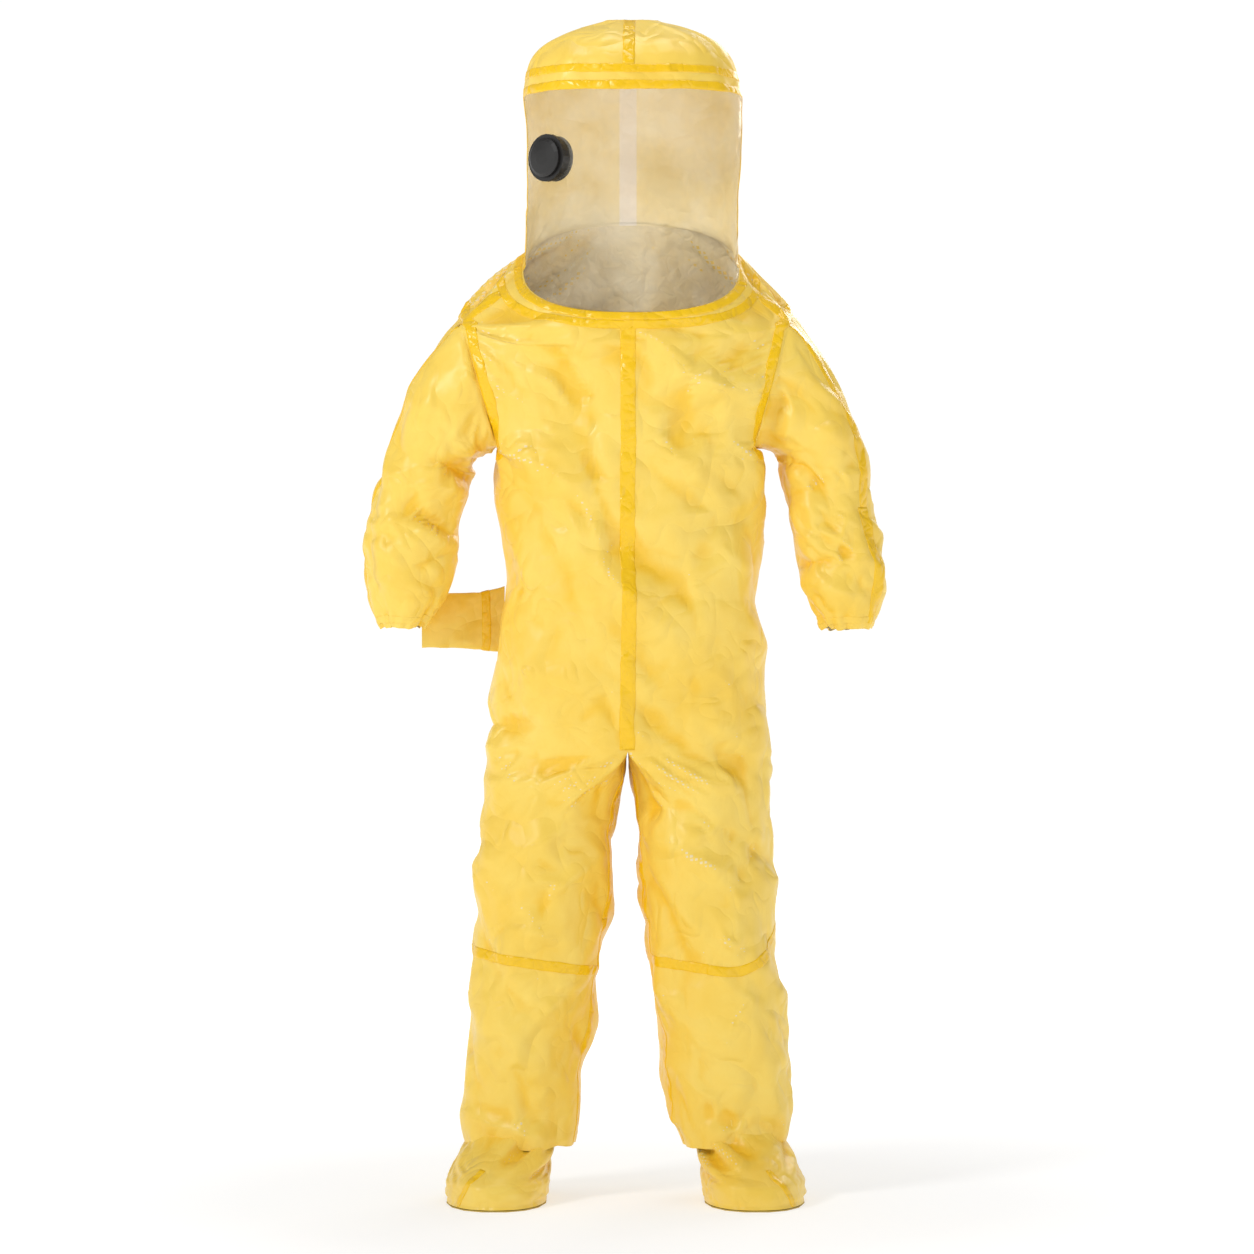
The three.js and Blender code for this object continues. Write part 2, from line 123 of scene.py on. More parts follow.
# %% floor, backdrop and lights
floor_material, tree, shader = material("floor paint")
shader.inputs["Base Color"].default_value = (0.55, 0.55, 0.55, 1)
shader.inputs["Roughness"].default_value = 0.85
shader.inputs["Specular IOR Level"].default_value = 0.1
shader.inputs["Emission Color"].default_value = (1, 1, 1, 1)
where = tree.nodes.new("ShaderNodeTexCoord").outputs["Object"]
reach = tree.nodes.new("ShaderNodeVectorMath")
reach.operation = "LENGTH"
glow = tree.nodes.new("ShaderNodeMapRange")
for key, value in (("From Min", 0.6), ("From Max", 2.6), ("To Min", 0.52), ("To Max", 0.9)):
    glow.inputs[key].default_value = value
tree.links.new(where, reach.inputs[0])
tree.links.new(reach.outputs["Value"], glow.inputs["Value"])
tree.links.new(glow.outputs[0], shader.inputs["Emission Strength"])
backdrop_material, tree, shader = material("lit backdrop")
shader.inputs["Base Color"].default_value = (0, 0, 0, 1)
shader.inputs["Emission Color"].default_value = (1, 1, 1, 1)
shader.inputs["Emission Strength"].default_value = 1.0
turn = np.linspace(0, 2 * np.pi, 96, endpoint=False)
span = np.array([-13.0, 13.0])
square = np.stack([np.tile(span, (2, 1)), np.tile(span[:, None], (1, 2)), np.zeros((2, 2))], axis=-1)
floor = link("floor", square, grid_faces(2, 2), floor_material)
height = np.array([0.0, 4.2])[:, None]
wall = np.stack([12 * np.cos(turn) + 0 * height, 12 * np.sin(turn) + 0 * height, height + 0 * turn], axis=-1)
backdrop = link("backdrop", wall, grid_faces(2, 96, closed=True, flip=True), backdrop_material)

world = bpy.data.worlds.new("studio")
bpy.context.scene.world = world
world.use_nodes = True
world.node_tree.nodes["Background"].inputs["Color"].default_value = (1, 1, 1, 1)
world.node_tree.nodes["Background"].inputs["Strength"].default_value = 0.3


def softbox(name, place, aim, size, watts):
    """A square area light at a place, turned to a point."""
    data = bpy.data.lights.new(name, "AREA")
    data.size = size
    data.energy = watts
    lamp = bpy.data.objects.new(name, data)
    direction = np.array(aim, float) - np.array(place, float)
    direction /= np.linalg.norm(direction)
    lamp.location = place
    yaw = np.arctan2(direction[0], direction[1])
    pitch = np.arcsin(direction[2])
    lamp.rotation_euler = (np.pi / 2 + pitch, 0, -yaw)
    bpy.context.scene.collection.objects.link(lamp)


softbox("key", (-3.0, -2.9, 3.7), (0, 0, 1.0), 1.0, 84)
softbox("fill", (3.4, -3.4, 1.8), (0, 0, 1.0), 2.4, 15)
softbox("top", (0.2, 0.2, 4.2), (0, 0, 1.0), 1.6, 30)
softbox("back", (1.6, 3.8, 3.0), (0, 0, 1.0), 1.8, 40)
view = bpy.context.scene.view_settings
view.view_transform = "Standard"
view.look = "None"

# %% [markdown]
# ## Measuring the frame
# The cloth has to lie where the rigid shells of the frame lie. A set of planes cuts those shells,
# and each cut gives how far the garment reaches along two directions. A superellipse between
# these reaches is the smooth, unwrinkled section that the cloth starts from. Every tube of the
# garment is a grid: rows run from the top down, columns run from the back round by one side.

# %% sections of the frame's shells
def edges_of(*names):
    """Both ends of every edge of some frame nodes, as two arrays of points."""
    ends = []
    for name in names:
        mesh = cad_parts[name].data
        points = np.empty(len(mesh.vertices) * 3)
        mesh.vertices.foreach_get("co", points)
        pairs = np.empty(len(mesh.edges) * 2, int)
        mesh.edges.foreach_get("vertices", pairs)
        ends.append(points.reshape(-1, 3)[pairs.reshape(-1, 2)])
    ends = np.concatenate(ends)
    return ends[:, 0], ends[:, 1]


def reaches(names, origins, across, along):
    """For each plane through an origin, spanned by two unit vectors, the low and high reach of the
    named shells along both: rows of (low across, high across, low along, high along). A plane in a
    gap between shells is moved a little until it meets one."""
    head, tail = edges_of(*names)
    rows = []
    for origin, a, b in zip(origins, across, along):
        normal = np.cross(a, b)
        for nudge in np.array([0, 1.5, -1.5, 4, -4, 8, -8]) * MM:
            h = (head - origin) @ normal - nudge
            t = (tail - origin) @ normal - nudge
            crossing = (h < 0) != (t < 0)
            if crossing.sum() > 6:
                break
        share = (h[crossing] / (h[crossing] - t[crossing]))[:, None]
        cut = head[crossing] * (1 - share) + tail[crossing] * share - origin
        rows.append([(cut @ a).min(), (cut @ a).max(), (cut @ b).min(), (cut @ b).max()])
    return np.array(rows)


def smoothed(values, passes):
    """Each value moved to the mean of its neighbours, several times, with both ends held."""
    out = np.array(values, float)
    for _ in range(passes):
        out[1:-1] = 0.25 * out[:-2] + 0.5 * out[1:-1] + 0.25 * out[2:]
    return out


def smoothstep(low, high, x):
    """0 below low, 1 above high, 3t^2 - 2t^3 between."""
    t = np.clip((np.asarray(x, float) - low) / (high - low), 0, 1)
    return t * t * (3 - 2 * t)


def bump(x, centre, width):
    """A bell around a centre: exp(-((x - centre) / width)^2)."""
    return np.exp(-((x - centre) / width) ** 2)


def superellipse(reach, power, angle):
    """|a|^power + |b|^power = 1 between four reaches. Angle 0 points along +b and 90 degrees along
    +a; each coordinate is the signed sine or cosine to the power 2 / power."""
    s, c = np.sin(angle), np.cos(angle)
    a = np.sign(s) * np.abs(s) ** (2 / power)
    b = np.sign(c) * np.abs(c) ** (2 / power)
    return ((reach[0] + reach[1]) / 2 + a * (reach[1] - reach[0]) / 2,
            (reach[2] + reach[3]) / 2 + b * (reach[3] - reach[2]) / 2)


def section(reach, power, origin, a, b, first):
    """A closed fine line of 721 points: the superellipse in one plane, from an angle round to itself."""
    x, y = superellipse(reach, power, first + np.linspace(0, 2 * np.pi, 721))
    return origin + x[:, None] * a + y[:, None] * b


def lengths_of(line):
    """Distance along a line at each of its points."""
    return np.concatenate([[0], np.cumsum(np.linalg.norm(np.diff(line, axis=0), axis=1))])


def even_ring(line, columns, marks=(0, 1), at=(0, 1)):
    """A closed line resampled to columns. marks are shares of its length, at the shares of the
    columns that have to fall there; between two marks the steps are equal."""
    length = lengths_of(line)
    want = np.interp(np.linspace(0, 1, columns, endpoint=False), at, marks) * length[-1]
    return np.stack([np.interp(want, length, line[:, k]) for k in range(3)], axis=-1)


# %% [markdown]
# ## Letting the cloth settle
# Real creases come from cloth that is longer than the space it has. Blender's cloth modifier can
# make them, but it gives little say over where the spare length goes. A garment tube is a regular
# grid, so a small position-based solver on whole arrays is quick and repeatable: every thread has
# its own cut length, neighbours pull or push each other to it, stiffness resists sharp bends,
# weight pulls the cloth down, and a weak hold stands for the form inside.

# %% the cloth solver
def project(a, b, wa, wb, length, stiffness):
    """Moves paired points a and b along the line between them towards the wanted length, each by
    its share of freedom, and returns both."""
    d = b - a
    now = np.linalg.norm(d, axis=-1, keepdims=True)
    move = stiffness * (now - length[..., None]) / np.maximum(now, 1e-9) * d / np.maximum(wa + wb, 1e-9)
    return a + wa * move, b - wb * move


def cut_lengths(target, spare_along, spare_around):
    """Thread lengths of the cut cloth: the smooth surface's own distances, made longer by the spare
    shares down the tube (rows) and around it (columns)."""
    down = np.linalg.norm(np.diff(target, axis=0), axis=-1)
    ring = np.linalg.norm(np.roll(target, -1, axis=1) - target, axis=-1)
    return down * (1 + 0.5 * (spare_along[1:] + spare_along[:-1])), ring * (1 + spare_around)


def cut_cells(target, spare_along, spare_around):
    """Area of every cell of the cut cloth: the smooth surface's own cell, made larger by both spares."""
    corner = [target[:-1], np.roll(target, -1, axis=1)[:-1], np.roll(target, -1, axis=1)[1:], target[1:]]
    cell = 0.5 * np.linalg.norm(np.cross(corner[2] - corner[0], corner[3] - corner[1]), axis=-1)
    along, around = (np.broadcast_to(v, target.shape[:2])[:-1] for v in (spare_along, spare_around))
    return cell * (1 + along) * (1 + around)


def cut_of(target, spare_along, spare_around):
    """The three sizes of a cut tube: thread lengths down and around, and the areas of its cells."""
    along, around = (np.broadcast_to(v, target.shape[:2]) for v in (spare_along, spare_around))
    return (*cut_lengths(target, along, around), cut_cells(target, along, around))


def settle(start, target, down, ring, freedom, steps, hold, bend, weight, reach):
    """Position-based cloth on a closed grid. Each step takes in turn: weight, the threads down and
    around (even pairs, then odd), both diagonals, stiffness against bending, and a hold that draws
    each point a small share back to the smooth surface and never lets it go beyond its reach."""
    p = start.copy()
    w = freedom[..., None]
    diagonal = np.sqrt(down ** 2 + (0.5 * (ring[:-1] + ring[1:])) ** 2)
    for _ in range(steps):
        p[..., 2] -= weight * w[..., 0]
        for s in (0, 1):
            a, b = slice(s, p.shape[0] - 1, 2), slice(s + 1, p.shape[0], 2)
            p[a], p[b] = project(p[a], p[b], w[a], w[b], down[a], 0.9)
        for s in (0, 1):
            q, v, l = np.roll(p, -s, axis=1), np.roll(w, -s, axis=1), np.roll(ring, -s, axis=1)
            q[:, 0::2], q[:, 1::2] = project(q[:, 0::2], q[:, 1::2], v[:, 0::2], v[:, 1::2], l[:, 0::2], 0.9)
            p = np.roll(q, s, axis=1)
        for turn in (-1, 1):
            for s in (0, 1):
                a, b = slice(s, p.shape[0] - 1, 2), slice(s + 1, p.shape[0], 2)
                q, v = np.roll(p[b], turn, axis=1), np.roll(w[b], turn, axis=1)
                p[a], q = project(p[a], q, w[a], v, diagonal[a], 0.3)
                p[b] = np.roll(q, -turn, axis=1)
        p[1:-1] += bend * w[1:-1] * (0.5 * (p[2:] + p[:-2]) - p[1:-1])
        p += bend * w * (0.5 * (np.roll(p, 1, axis=1) + np.roll(p, -1, axis=1)) - p)
        p += hold * w * (target - p)
        off = p - target
        far = np.linalg.norm(off, axis=-1)
        p = target + off * np.minimum(1, reach / np.maximum(far, 1e-9))[..., None]
    return p


def normals_of(p):
    """Unit normals of a closed grid whose rows run down: around crossed with down points outwards."""
    around = np.roll(p, -1, axis=1) - np.roll(p, 1, axis=1)
    n = np.cross(around, np.gradient(p, axis=0))
    return n / np.maximum(np.linalg.norm(n, axis=-1, keepdims=True), 1e-12)


def soft_noise(shape, row_cells, column_cells, seed):
    """Smooth noise on a closed grid: random numbers on a coarse grid, read with cosine blending and
    wrapped round the columns. Its spread is about one."""
    rows, columns = shape
    row_cells, column_cells = max(2, int(row_cells)), max(3, int(column_cells))
    coarse = np.random.default_rng(seed).standard_normal((row_cells + 2, column_cells))
    r = np.linspace(0, row_cells, rows, endpoint=False)
    c = np.linspace(0, column_cells, columns, endpoint=False)
    r0, c0 = r.astype(int), c.astype(int)
    fr = (0.5 - 0.5 * np.cos(np.pi * (r - r0)))[:, None]
    fc = (0.5 - 0.5 * np.cos(np.pi * (c - c0)))[None]
    c1 = (c0 + 1) % column_cells
    top = coarse[r0][:, c0] * (1 - fc) + coarse[r0][:, c1] * fc
    low = coarse[r0 + 1][:, c0] * (1 - fc) + coarse[r0 + 1][:, c1] * fc
    return top * (1 - fr) + low * fr


def facets(shape, row_cells, column_cells, seed):
    """Crumple with crisp ridges: random heights on a coarse lattice whose cells are split into two
    flat triangles, read at places that soft noise has shifted. It wraps round the columns."""
    rows, columns = shape
    row_cells, column_cells = max(2, int(row_cells)), max(3, int(column_cells))
    coarse = np.random.default_rng(seed).standard_normal((row_cells + 3, column_cells))
    r = (np.linspace(0.5, row_cells, rows)[:, None]
         + 0.28 * soft_noise(shape, row_cells, column_cells, seed + 5))
    c = ((np.arange(columns) * column_cells / columns)[None]
         + 0.28 * soft_noise(shape, row_cells, column_cells, seed + 6))
    r, c = np.clip(r, 0, row_cells + 1), c % column_cells
    r0, c0 = r.astype(int), c.astype(int) % column_cells
    fr, fc = r - r0, c - np.floor(c)
    c1 = (c0 + 1) % column_cells
    corner = [coarse[r0, c0], coarse[r0, c1], coarse[r0 + 1, c0], coarse[r0 + 1, c1]]
    upper = corner[0] + fc * (corner[1] - corner[0]) + fr * (corner[2] - corner[0])
    lower = corner[3] + (1 - fc) * (corner[2] - corner[3]) + (1 - fr) * (corner[1] - corner[3])
    return np.where(fr + fc < 1, upper, lower)


def cubic(values, where, wrap):
    """Reads the first axis of an array at fractional places with Catmull-Rom weights."""
    i = np.floor(where).astype(int)
    f = (where - i).reshape((-1,) + (1,) * (values.ndim - 1))
    size = len(values)
    a, b, c, d = (values[(i + k) % size if wrap else np.clip(i + k, 0, size - 1)] for k in (-1, 0, 1, 2))
    return 0.5 * (2 * b + f * (c - a) + f ** 2 * (2 * a - 5 * b + 4 * c - d)
                  + f ** 3 * (3 * b - a - 3 * c + d))


def refined(p, rows, columns):
    """A closed grid resampled to more rows and columns."""
    out = cubic(p, np.linspace(0, len(p) - 1, rows), False)
    out = cubic(np.swapaxes(out, 0, 1), np.linspace(0, p.shape[1], columns, endpoint=False), True)
    return np.swapaxes(out, 0, 1)


def pressed(p, folds, calm=1.0):
    """Presses folds into the front and sides of a grid: along its normals, height times
    exp(-distance / width), the distance to the fold's line being taken in the front view."""
    n = normals_of(p)
    facing = smoothstep(-0.25, 0.35, -n[..., 1]) * calm
    out = p.copy()
    for x0, z0, x1, z1, width, height in folds:
        width, height = width * FOLD_WIDTH * MM, height * FOLD_HEIGHT * MM
        run = np.array([x1 - x0, z1 - z0])
        off = p[..., [0, 2]] - [x0, z0]
        t = np.clip((off @ run) / (run @ run), 0, 1)
        d = np.hypot(*np.moveaxis(off - t[..., None] * run, -1, 0))
        swell = 0.35 + 0.65 * np.sin(np.pi * np.clip(t, 0.08, 0.92))
        out += n * (facing * swell * height * np.exp(-np.sqrt(d ** 2 + (5 * MM) ** 2) / width))[..., None]
    return out


def drape(target, along, around, seed, fold=4 * MM, cell=(60 * MM, 70 * MM), crease=1.6 * MM,
          crease_cell=55 * MM,
          reach=16 * MM, hold=0.008, bend=0.22, weight=0.05 * MM, steps=(220, 30), free=1.0, pinned=(0, -1),
          folds=()):
    """Settles a tube twice: on a grid of every second thread for the broad folds, then on the full
    grid for the creases. along and around are the spare shares, fold and cell the height and size of
    the first dents, crease the height of the flat-sided crumple pressed in between the two, and free
    a factor that quietens parts of the tube. folds are the set folds, pressed in between the two. pinned
    names the rows that do not move, so that neighbours keep meeting. The second settling keeps the
    lengths that the surface has by then."""
    shape = target.shape[:2]
    along, around, reach, free = (np.broadcast_to(v, shape) for v in (along, around, reach, free))
    height = lengths_of(target.mean(axis=1))[-1] + 1e-6
    girth = np.linalg.norm(np.roll(target, -1, axis=1) - target, axis=-1).sum(axis=1).mean()
    tall = np.arange(shape[0])[:, None]
    if -1 in pinned:
        tall = np.minimum(tall, tall[::-1])
    ends = np.minimum(1, tall / 5) * free
    reach = np.minimum(reach, (0.8 + 1.6 * tall) * MM)
    along = along * (1 + 0.5 * np.clip(soft_noise(shape, height / (2 * cell[0]), girth / (2 * cell[1]),
                                                  seed + 8), -1, 1))
    half = target[::2, ::2]
    seeds = soft_noise(half.shape[:2], height / cell[0], girth / cell[1], seed)
    seeds = seeds + 0.6 * soft_noise(half.shape[:2], 2 * height / cell[0], 2 * girth / cell[1], seed + 1)
    start = half + normals_of(half) * (seeds * fold * ends[::2, ::2])[..., None]
    freedom = np.ones(half.shape[:2])
    freedom[list(pinned)] = 0
    down, ring = cut_lengths(half, along[::2, ::2], around[::2, ::2])
    broad = settle(start, half, down, ring, freedom, steps[0], hold, bend, weight, reach[::2, ::2])
    fine = target + refined(broad - half, *shape)
    fine = pressed(fine, folds, smoothstep(0, 9, tall) * free)
    crumple = facets(shape, height / crease_cell, girth / crease_cell, seed + 2)
    crumple = crumple + 0.4 * facets(shape, 2.3 * height / crease_cell, 2.3 * girth / crease_cell, seed + 3)
    fine += normals_of(fine) * (crumple * crease * ends)[..., None]
    freedom = np.ones(shape)
    freedom[list(pinned)] = 0
    down, ring = cut_lengths(fine, 0 * along, 0 * around)
    return settle(fine, fine, down, ring, freedom, steps[1], 0.02, 0.01, weight * 0.2, reach)


# %% [markdown]
# ## Folds that the stance leaves
# Besides the random crumple, a suit on a form has folds in set places: planes that break from the
# armpits, creases that fan out from the crotch, stacked folds at elbows, knees and hems. A solver
# left to itself puts its creases anywhere, so these are listed. Each is a line across the
# front: x and z of both ends in metres, then a width and a height in millimetres. Ridges have a
# positive height and valleys a negative one. Two factors scale all of them together.

# %% set folds
FOLD_WIDTH = 1.1
FOLD_HEIGHT = 1.9
TORSO_FOLDS = [(-.198, 1.271, -.070, 1.063, 30, 9), (-.070, 1.063, -.041, .893, 26, 6),
               (.199, 1.260, .225, 1.120, 24, 7), (.023, .957, .231, .957, 24, -7),
               (.023, 1.074, .207, 1.109, 20, 5), (-.129, 1.381, -.057, 1.245, 16, -4),
               (.119, 1.373, .087, 1.245, 16, -4), (-.145, 1.005, -.105, .941, 11, 5),
               (-.201, .861, -.041, .813, 16, 4), (.023, .829, .215, .877, 16, 4),
               (-.201, 1.309, -.217, 1.213, 15, -6), (.207, 1.277, .231, 1.213, 15, -7),
               (-.190, .985, -.120, .900, 18, -5), (.150, 1.040, .220, 1.000, 16, 5),
               (.017, .749, .110, .705, 16, 6), (.120, .716, .207, .759, 16, -5),
               (-.150, .780, -.030, .745, 15, 5), (.060, 1.300, .040, 1.150, 30, 3)]
LEG_FOLDS = [(-.080, .597, -.210, .543, 17, 7), (-.031, .559, -.118, .489, 15, 7),
             (-.226, .532, -.183, .467, 15, 6), (-.129, .494, -.134, .445, 12, -6),
             (-.205, .705, -.178, .608, 16, -5), (-.021, .689, -.100, .625, 15, 6),
             (-.215, .251, -.248, .327, 13, 5), (-.096, .332, -.145, .283, 13, 6),
             (-.232, .213, -.145, .232, 12, 5), (-.270, .143, -.096, .094, 13, 8),
             (-.260, .160, -.150, .125, 11, -6), (-.180, .440, -.100, .415, 12, 6),
             (.023, .624, .098, .629, 13, -6), (.098, .629, .174, .581, 13, -6),
             (.082, .565, .163, .602, 14, 7), (.082, .565, .163, .521, 13, 7),
             (.174, .505, .234, .581, 15, -6), (.039, .527, .147, .397, 16, 7),
             (.179, .483, .163, .397, 14, 6), (.066, .337, .120, .251, 14, 6),
             (.190, .321, .163, .256, 13, 5), (.066, .218, .152, .153, 13, 6),
             (.158, .110, .196, .126, 9, 7), (.110, .140, .240, .118, 11, -6),
             (.110, .705, .174, .673, 16, 6), (.040, .680, .130, .640, 14, -5)]
SLEEVE_FOLDS = [(-.235, 1.152, -.300, 1.178, 12, -17), (-.203, 1.236, -.283, 1.184, 17, 7),
                (-.275, 1.060, -.335, 1.103, 12, -16), (-.243, 1.127, -.341, 1.144, 14, 8),
                (-.272, 1.046, -.347, 1.080, 13, 8), (-.347, 1.080, -.399, 1.080, 12, 6),
                (-.405, 1.052, -.341, 1.005, 13, 7), (-.341, 1.005, -.283, 1.034, 13, -6),
                (-.400, .990, -.330, .965, 12, 5), (.207, 1.248, .265, 1.277, 14, -9),
                (.271, 1.271, .254, 1.202, 15, 7), (.255, 1.121, .352, 1.167, 14, -9),
                (.334, 1.034, .358, 1.098, 15, 7), (.270, 1.012, .345, 1.028, 12, -14),
                (.334, 1.028, .404, 1.011, 13, 7), (.290, .985, .370, .965, 12, 6),
                (.300, 1.200, .350, 1.240, 18, 5), (-.330, 1.250, -.290, 1.300, 18, 5)]

# %% [markdown]
# ## Walls with two sides
# Cloth is thin, but not infinitely thin: every panel becomes an outer layer and an inner layer
# joined by a rim, so each piece is a closed body. Normals are taken from the whole tube before it
# is cut into panels, so no line shows where two panels of one tube meet.

# %% panels cut from a settled tube
CLOTH = 0.6 * MM


def valleys(p, n):
    """How deep each point lies in a fold: the outward distance to the mean of the points about it,
    for a narrow and a wide neighbourhood, in units of 1.6 mm and 4 mm."""
    depth = np.zeros(p.shape[:2])
    mean = p
    for passes, unit in ((8, 1.6 * MM), (40, 4 * MM)):
        for _ in range(passes):
            inner = 0.5 * mean + 0.25 * (np.roll(mean, 1, axis=1) + np.roll(mean, -1, axis=1))
            mean = inner.copy()
            mean[1:-1] = 0.5 * inner[1:-1] + 0.25 * (inner[2:] + inner[:-2])
        depth += 0.5 * np.clip(((mean - p) * n).sum(axis=-1) / unit, -1, 1)
    return depth


def panel(name, grid, rows, columns, finish, lining=None, hole=None, thick=CLOTH, suffix="_cloth",
          pole=False):
    """A closed panel from rows and columns of a tube. Outer points are p, inner points p - thick n,
    and open edges get a rim. hole = (rows, columns) leaves a window out; columns may wrap. With a
    pole, the first row is a single point."""
    p, n, (down, ring, cells) = grid
    r = np.arange(rows[0], rows[1] + 1)
    c = np.arange(columns[0], columns[1] + 1)
    wrapped = c % p.shape[1]
    outer, direction = p[r][:, wrapped], n[r][:, wrapped]
    nr, nc = len(r), len(c)
    index = np.arange(nr * nc).reshape(nr, nc)
    if columns[1] - columns[0] == p.shape[1]:
        index[:, -1] = index[:, 0]
    if pole:
        index[0] = index[0, 0]
    quads = np.stack([index[:-1, :-1], index[:-1, 1:], index[1:, 1:], index[1:, :-1]], axis=-1)
    if hole:
        keep = np.ones(quads.shape[:2], bool)
        for (r0, r1), (c0, c1) in hole:
            rr = (r[:-1, None] >= r0) & (r[:-1, None] < r1)
            keep &= ~(rr & (c[None, :-1] >= c0) & (c[None, :-1] < c1))
        quads = quads[keep]
    quads = quads.reshape(-1, 4)
    count = nr * nc
    edges = np.stack([quads, np.roll(quads, -1, axis=1)], axis=-1).reshape(-1, 2)
    edges = edges[edges[:, 0] != edges[:, 1]]
    key = edges.min(1) * count + edges.max(1)
    _, first, seen = np.unique(key, return_index=True, return_counts=True)
    border = edges[first[seen == 1]]
    rim = np.stack([border[:, 1], border[:, 0], border[:, 0] + count, border[:, 1] + count], axis=-1)
    verts = np.concatenate([outer.reshape(-1, 3), (outer - thick * direction).reshape(-1, 3)])
    faces = np.concatenate([quads, quads[:, ::-1] + count, rim])
    used = np.unique(faces)
    remap = np.zeros(2 * count, int)
    remap[used] = np.arange(len(used))
    normals = np.concatenate([direction.reshape(-1, 3), -direction.reshape(-1, 3)])[faces]
    a, b, d = (verts[rim[:, k]] for k in (0, 1, 3))
    side = np.cross(b - a, d - a)
    normals[-len(rim):] = (side / np.maximum(np.linalg.norm(side, axis=1, keepdims=True), 1e-12))[:, None]
    slots = np.zeros(len(faces), int)
    slots[len(quads):2 * len(quads)] = 1
    loops = remap[faces]
    if pole:
        lists = [list(dict.fromkeys(f)) for f in loops.tolist()]
        keep_corner = [[f.index(v) for v in dict.fromkeys(f)] for f in loops.tolist()]
        normals = np.concatenate([m[k] for m, k in zip(normals, keep_corner)])
        piece = link(name + suffix, verts[used], lists, finish)
    else:
        piece = link(name + suffix, verts[used], loops, finish)
    if lining:
        piece.data.materials.append(lining)
        piece.data.polygons.foreach_set("material_index", slots)
    piece.data.normals_split_custom_set(normals.reshape(-1, 3).tolist())
    # Fold depth per point, stored as the valley attribute; the finishes paint shade into the folds from it.
    painted_crease_shade = np.tile(valleys(p, n)[r][:, wrapped].reshape(-1), 2)[used]
    piece.data.attributes.new("valley", "FLOAT", "POINT").data.foreach_set("value", painted_crease_shade)
    return piece


def open_normals(p):
    """Unit normals of a grid with free side edges."""
    n = np.cross(np.gradient(p, axis=1), np.gradient(p, axis=0))
    return n / np.maximum(np.linalg.norm(n, axis=-1, keepdims=True), 1e-12)


def sample(grid, r, c):
    """Reads a closed grid at fractional rows and columns, with linear weights."""
    r = np.clip(r, 0, len(grid) - 1.001)
    r0, c0 = np.floor(r).astype(int), np.floor(c).astype(int)
    fr, fc = (r - r0)[..., None], (c - c0)[..., None]
    c0, c1 = c0 % grid.shape[1], (c0 + 1) % grid.shape[1]
    return ((grid[r0, c0] * (1 - fc) + grid[r0, c1] * fc) * (1 - fr)
            + (grid[r0 + 1, c0] * (1 - fc) + grid[r0 + 1, c1] * fc) * fr)


def strip(name, grid, r, c, width, finish, lift=0.9 * MM, ragged=0.05, closed=False, seed=3, step=4 * MM):
    """A seam tape on a tube. Its middle runs through fractional rows r and columns c; its width is
    measured on the cloth, with edges that wander a little; it stands proud by lift and is a closed
    body. The offset across is found from the local spacing of rows and columns."""
    p, n = grid[:2]
    path = sample(p, r, c)
    length = lengths_of(path)
    count = max(6, int(length[-1] / step))
    s = np.linspace(0, length[-1], count, endpoint=not closed)
    r, c = np.interp(s, length, r), np.interp(s, length, c)
    size_r = np.linalg.norm(sample(p, r + 1, c) - sample(p, r - 1, c), axis=-1) / 2 + 2e-4
    size_c = np.linalg.norm(sample(p, r, c + 1) - sample(p, r, c - 1), axis=-1) / 2 + 2e-4
    if closed:
        dr = np.gradient(np.concatenate([r[-2:], r, r[:2]]))[2:-2]
        dc = np.gradient(np.unwrap(np.concatenate([c[-2:], c, c[:2]]), period=p.shape[1]))[2:-2]
    else:
        dr, dc = np.gradient(r), np.gradient(c)
    tr, tc = dr * size_r, dc * size_c
    size = np.hypot(tr, tc) + 1e-12
    across = np.array([-1, -0.93, -0.6, -0.2, 0.2, 0.6, 0.93, 1.0])
    height = np.array([0.0, 0.8, 1, 1, 1, 1, 0.8, 0.0])
    wander = smoothed(np.random.default_rng(seed).standard_normal((count, 2)), 4) * ragged * 2
    half = 0.5 * width * (1 + np.where(across[None] < 0, wander[:, :1], wander[:, 1:]))
    offset = across[None] * half
    rr = r[:, None] - (tc / size)[:, None] * offset / size_r[:, None]
    cc = c[:, None] + (tr / size)[:, None] * offset / size_c[:, None]
    base, up = sample(p, rr, cc), sample(n, rr, cc)
    top = base + up * (0.15 * MM + (lift - 0.15 * MM) * height)[:, None]
    low = base - up * 0.1 * MM
    loop = np.concatenate([top, low[:, ::-1]], axis=1)
    around = loop.shape[1]
    index = np.arange(count * around).reshape(count, around)
    following = np.roll(index, -1, axis=0) if closed else index[1:]
    index = index if closed else index[:-1]
    faces = np.stack([index, np.roll(index, -1, axis=1), np.roll(following, -1, axis=1), following],
                     axis=-1).reshape(-1, 4)
    if not closed:
        ends = [np.arange(around)[::-1], np.arange(around) + (count - 1) * around]
        caps = [[e[k], e[k + 1], e[around - 2 - k], e[around - 1 - k]] for e in ends
                for k in range(around // 2 - 1)]
        faces = np.concatenate([faces, np.array(caps)])
    verts = loop.reshape(-1, 3)
    a, b, d = (verts[faces[:, k]] for k in (0, 1, 3))
    facing = np.einsum("ij,ij->i", np.cross(b - a, d - a)[3:(count - 1) * around:around],
                       up[:count - 1, 3]).sum()
    if facing < 0:
        faces = faces[:, ::-1]
    piece = link(name, verts, faces, finish)
    return piece

# %% [markdown]
# ## Node groups for the finishes
# Two things repeat in every cloth finish: a crumple of ridges, with a slow cloud beside it, and a
# fine pressed grain. Each is a node group, built once. Colour, gloss and relief are mixed from them.

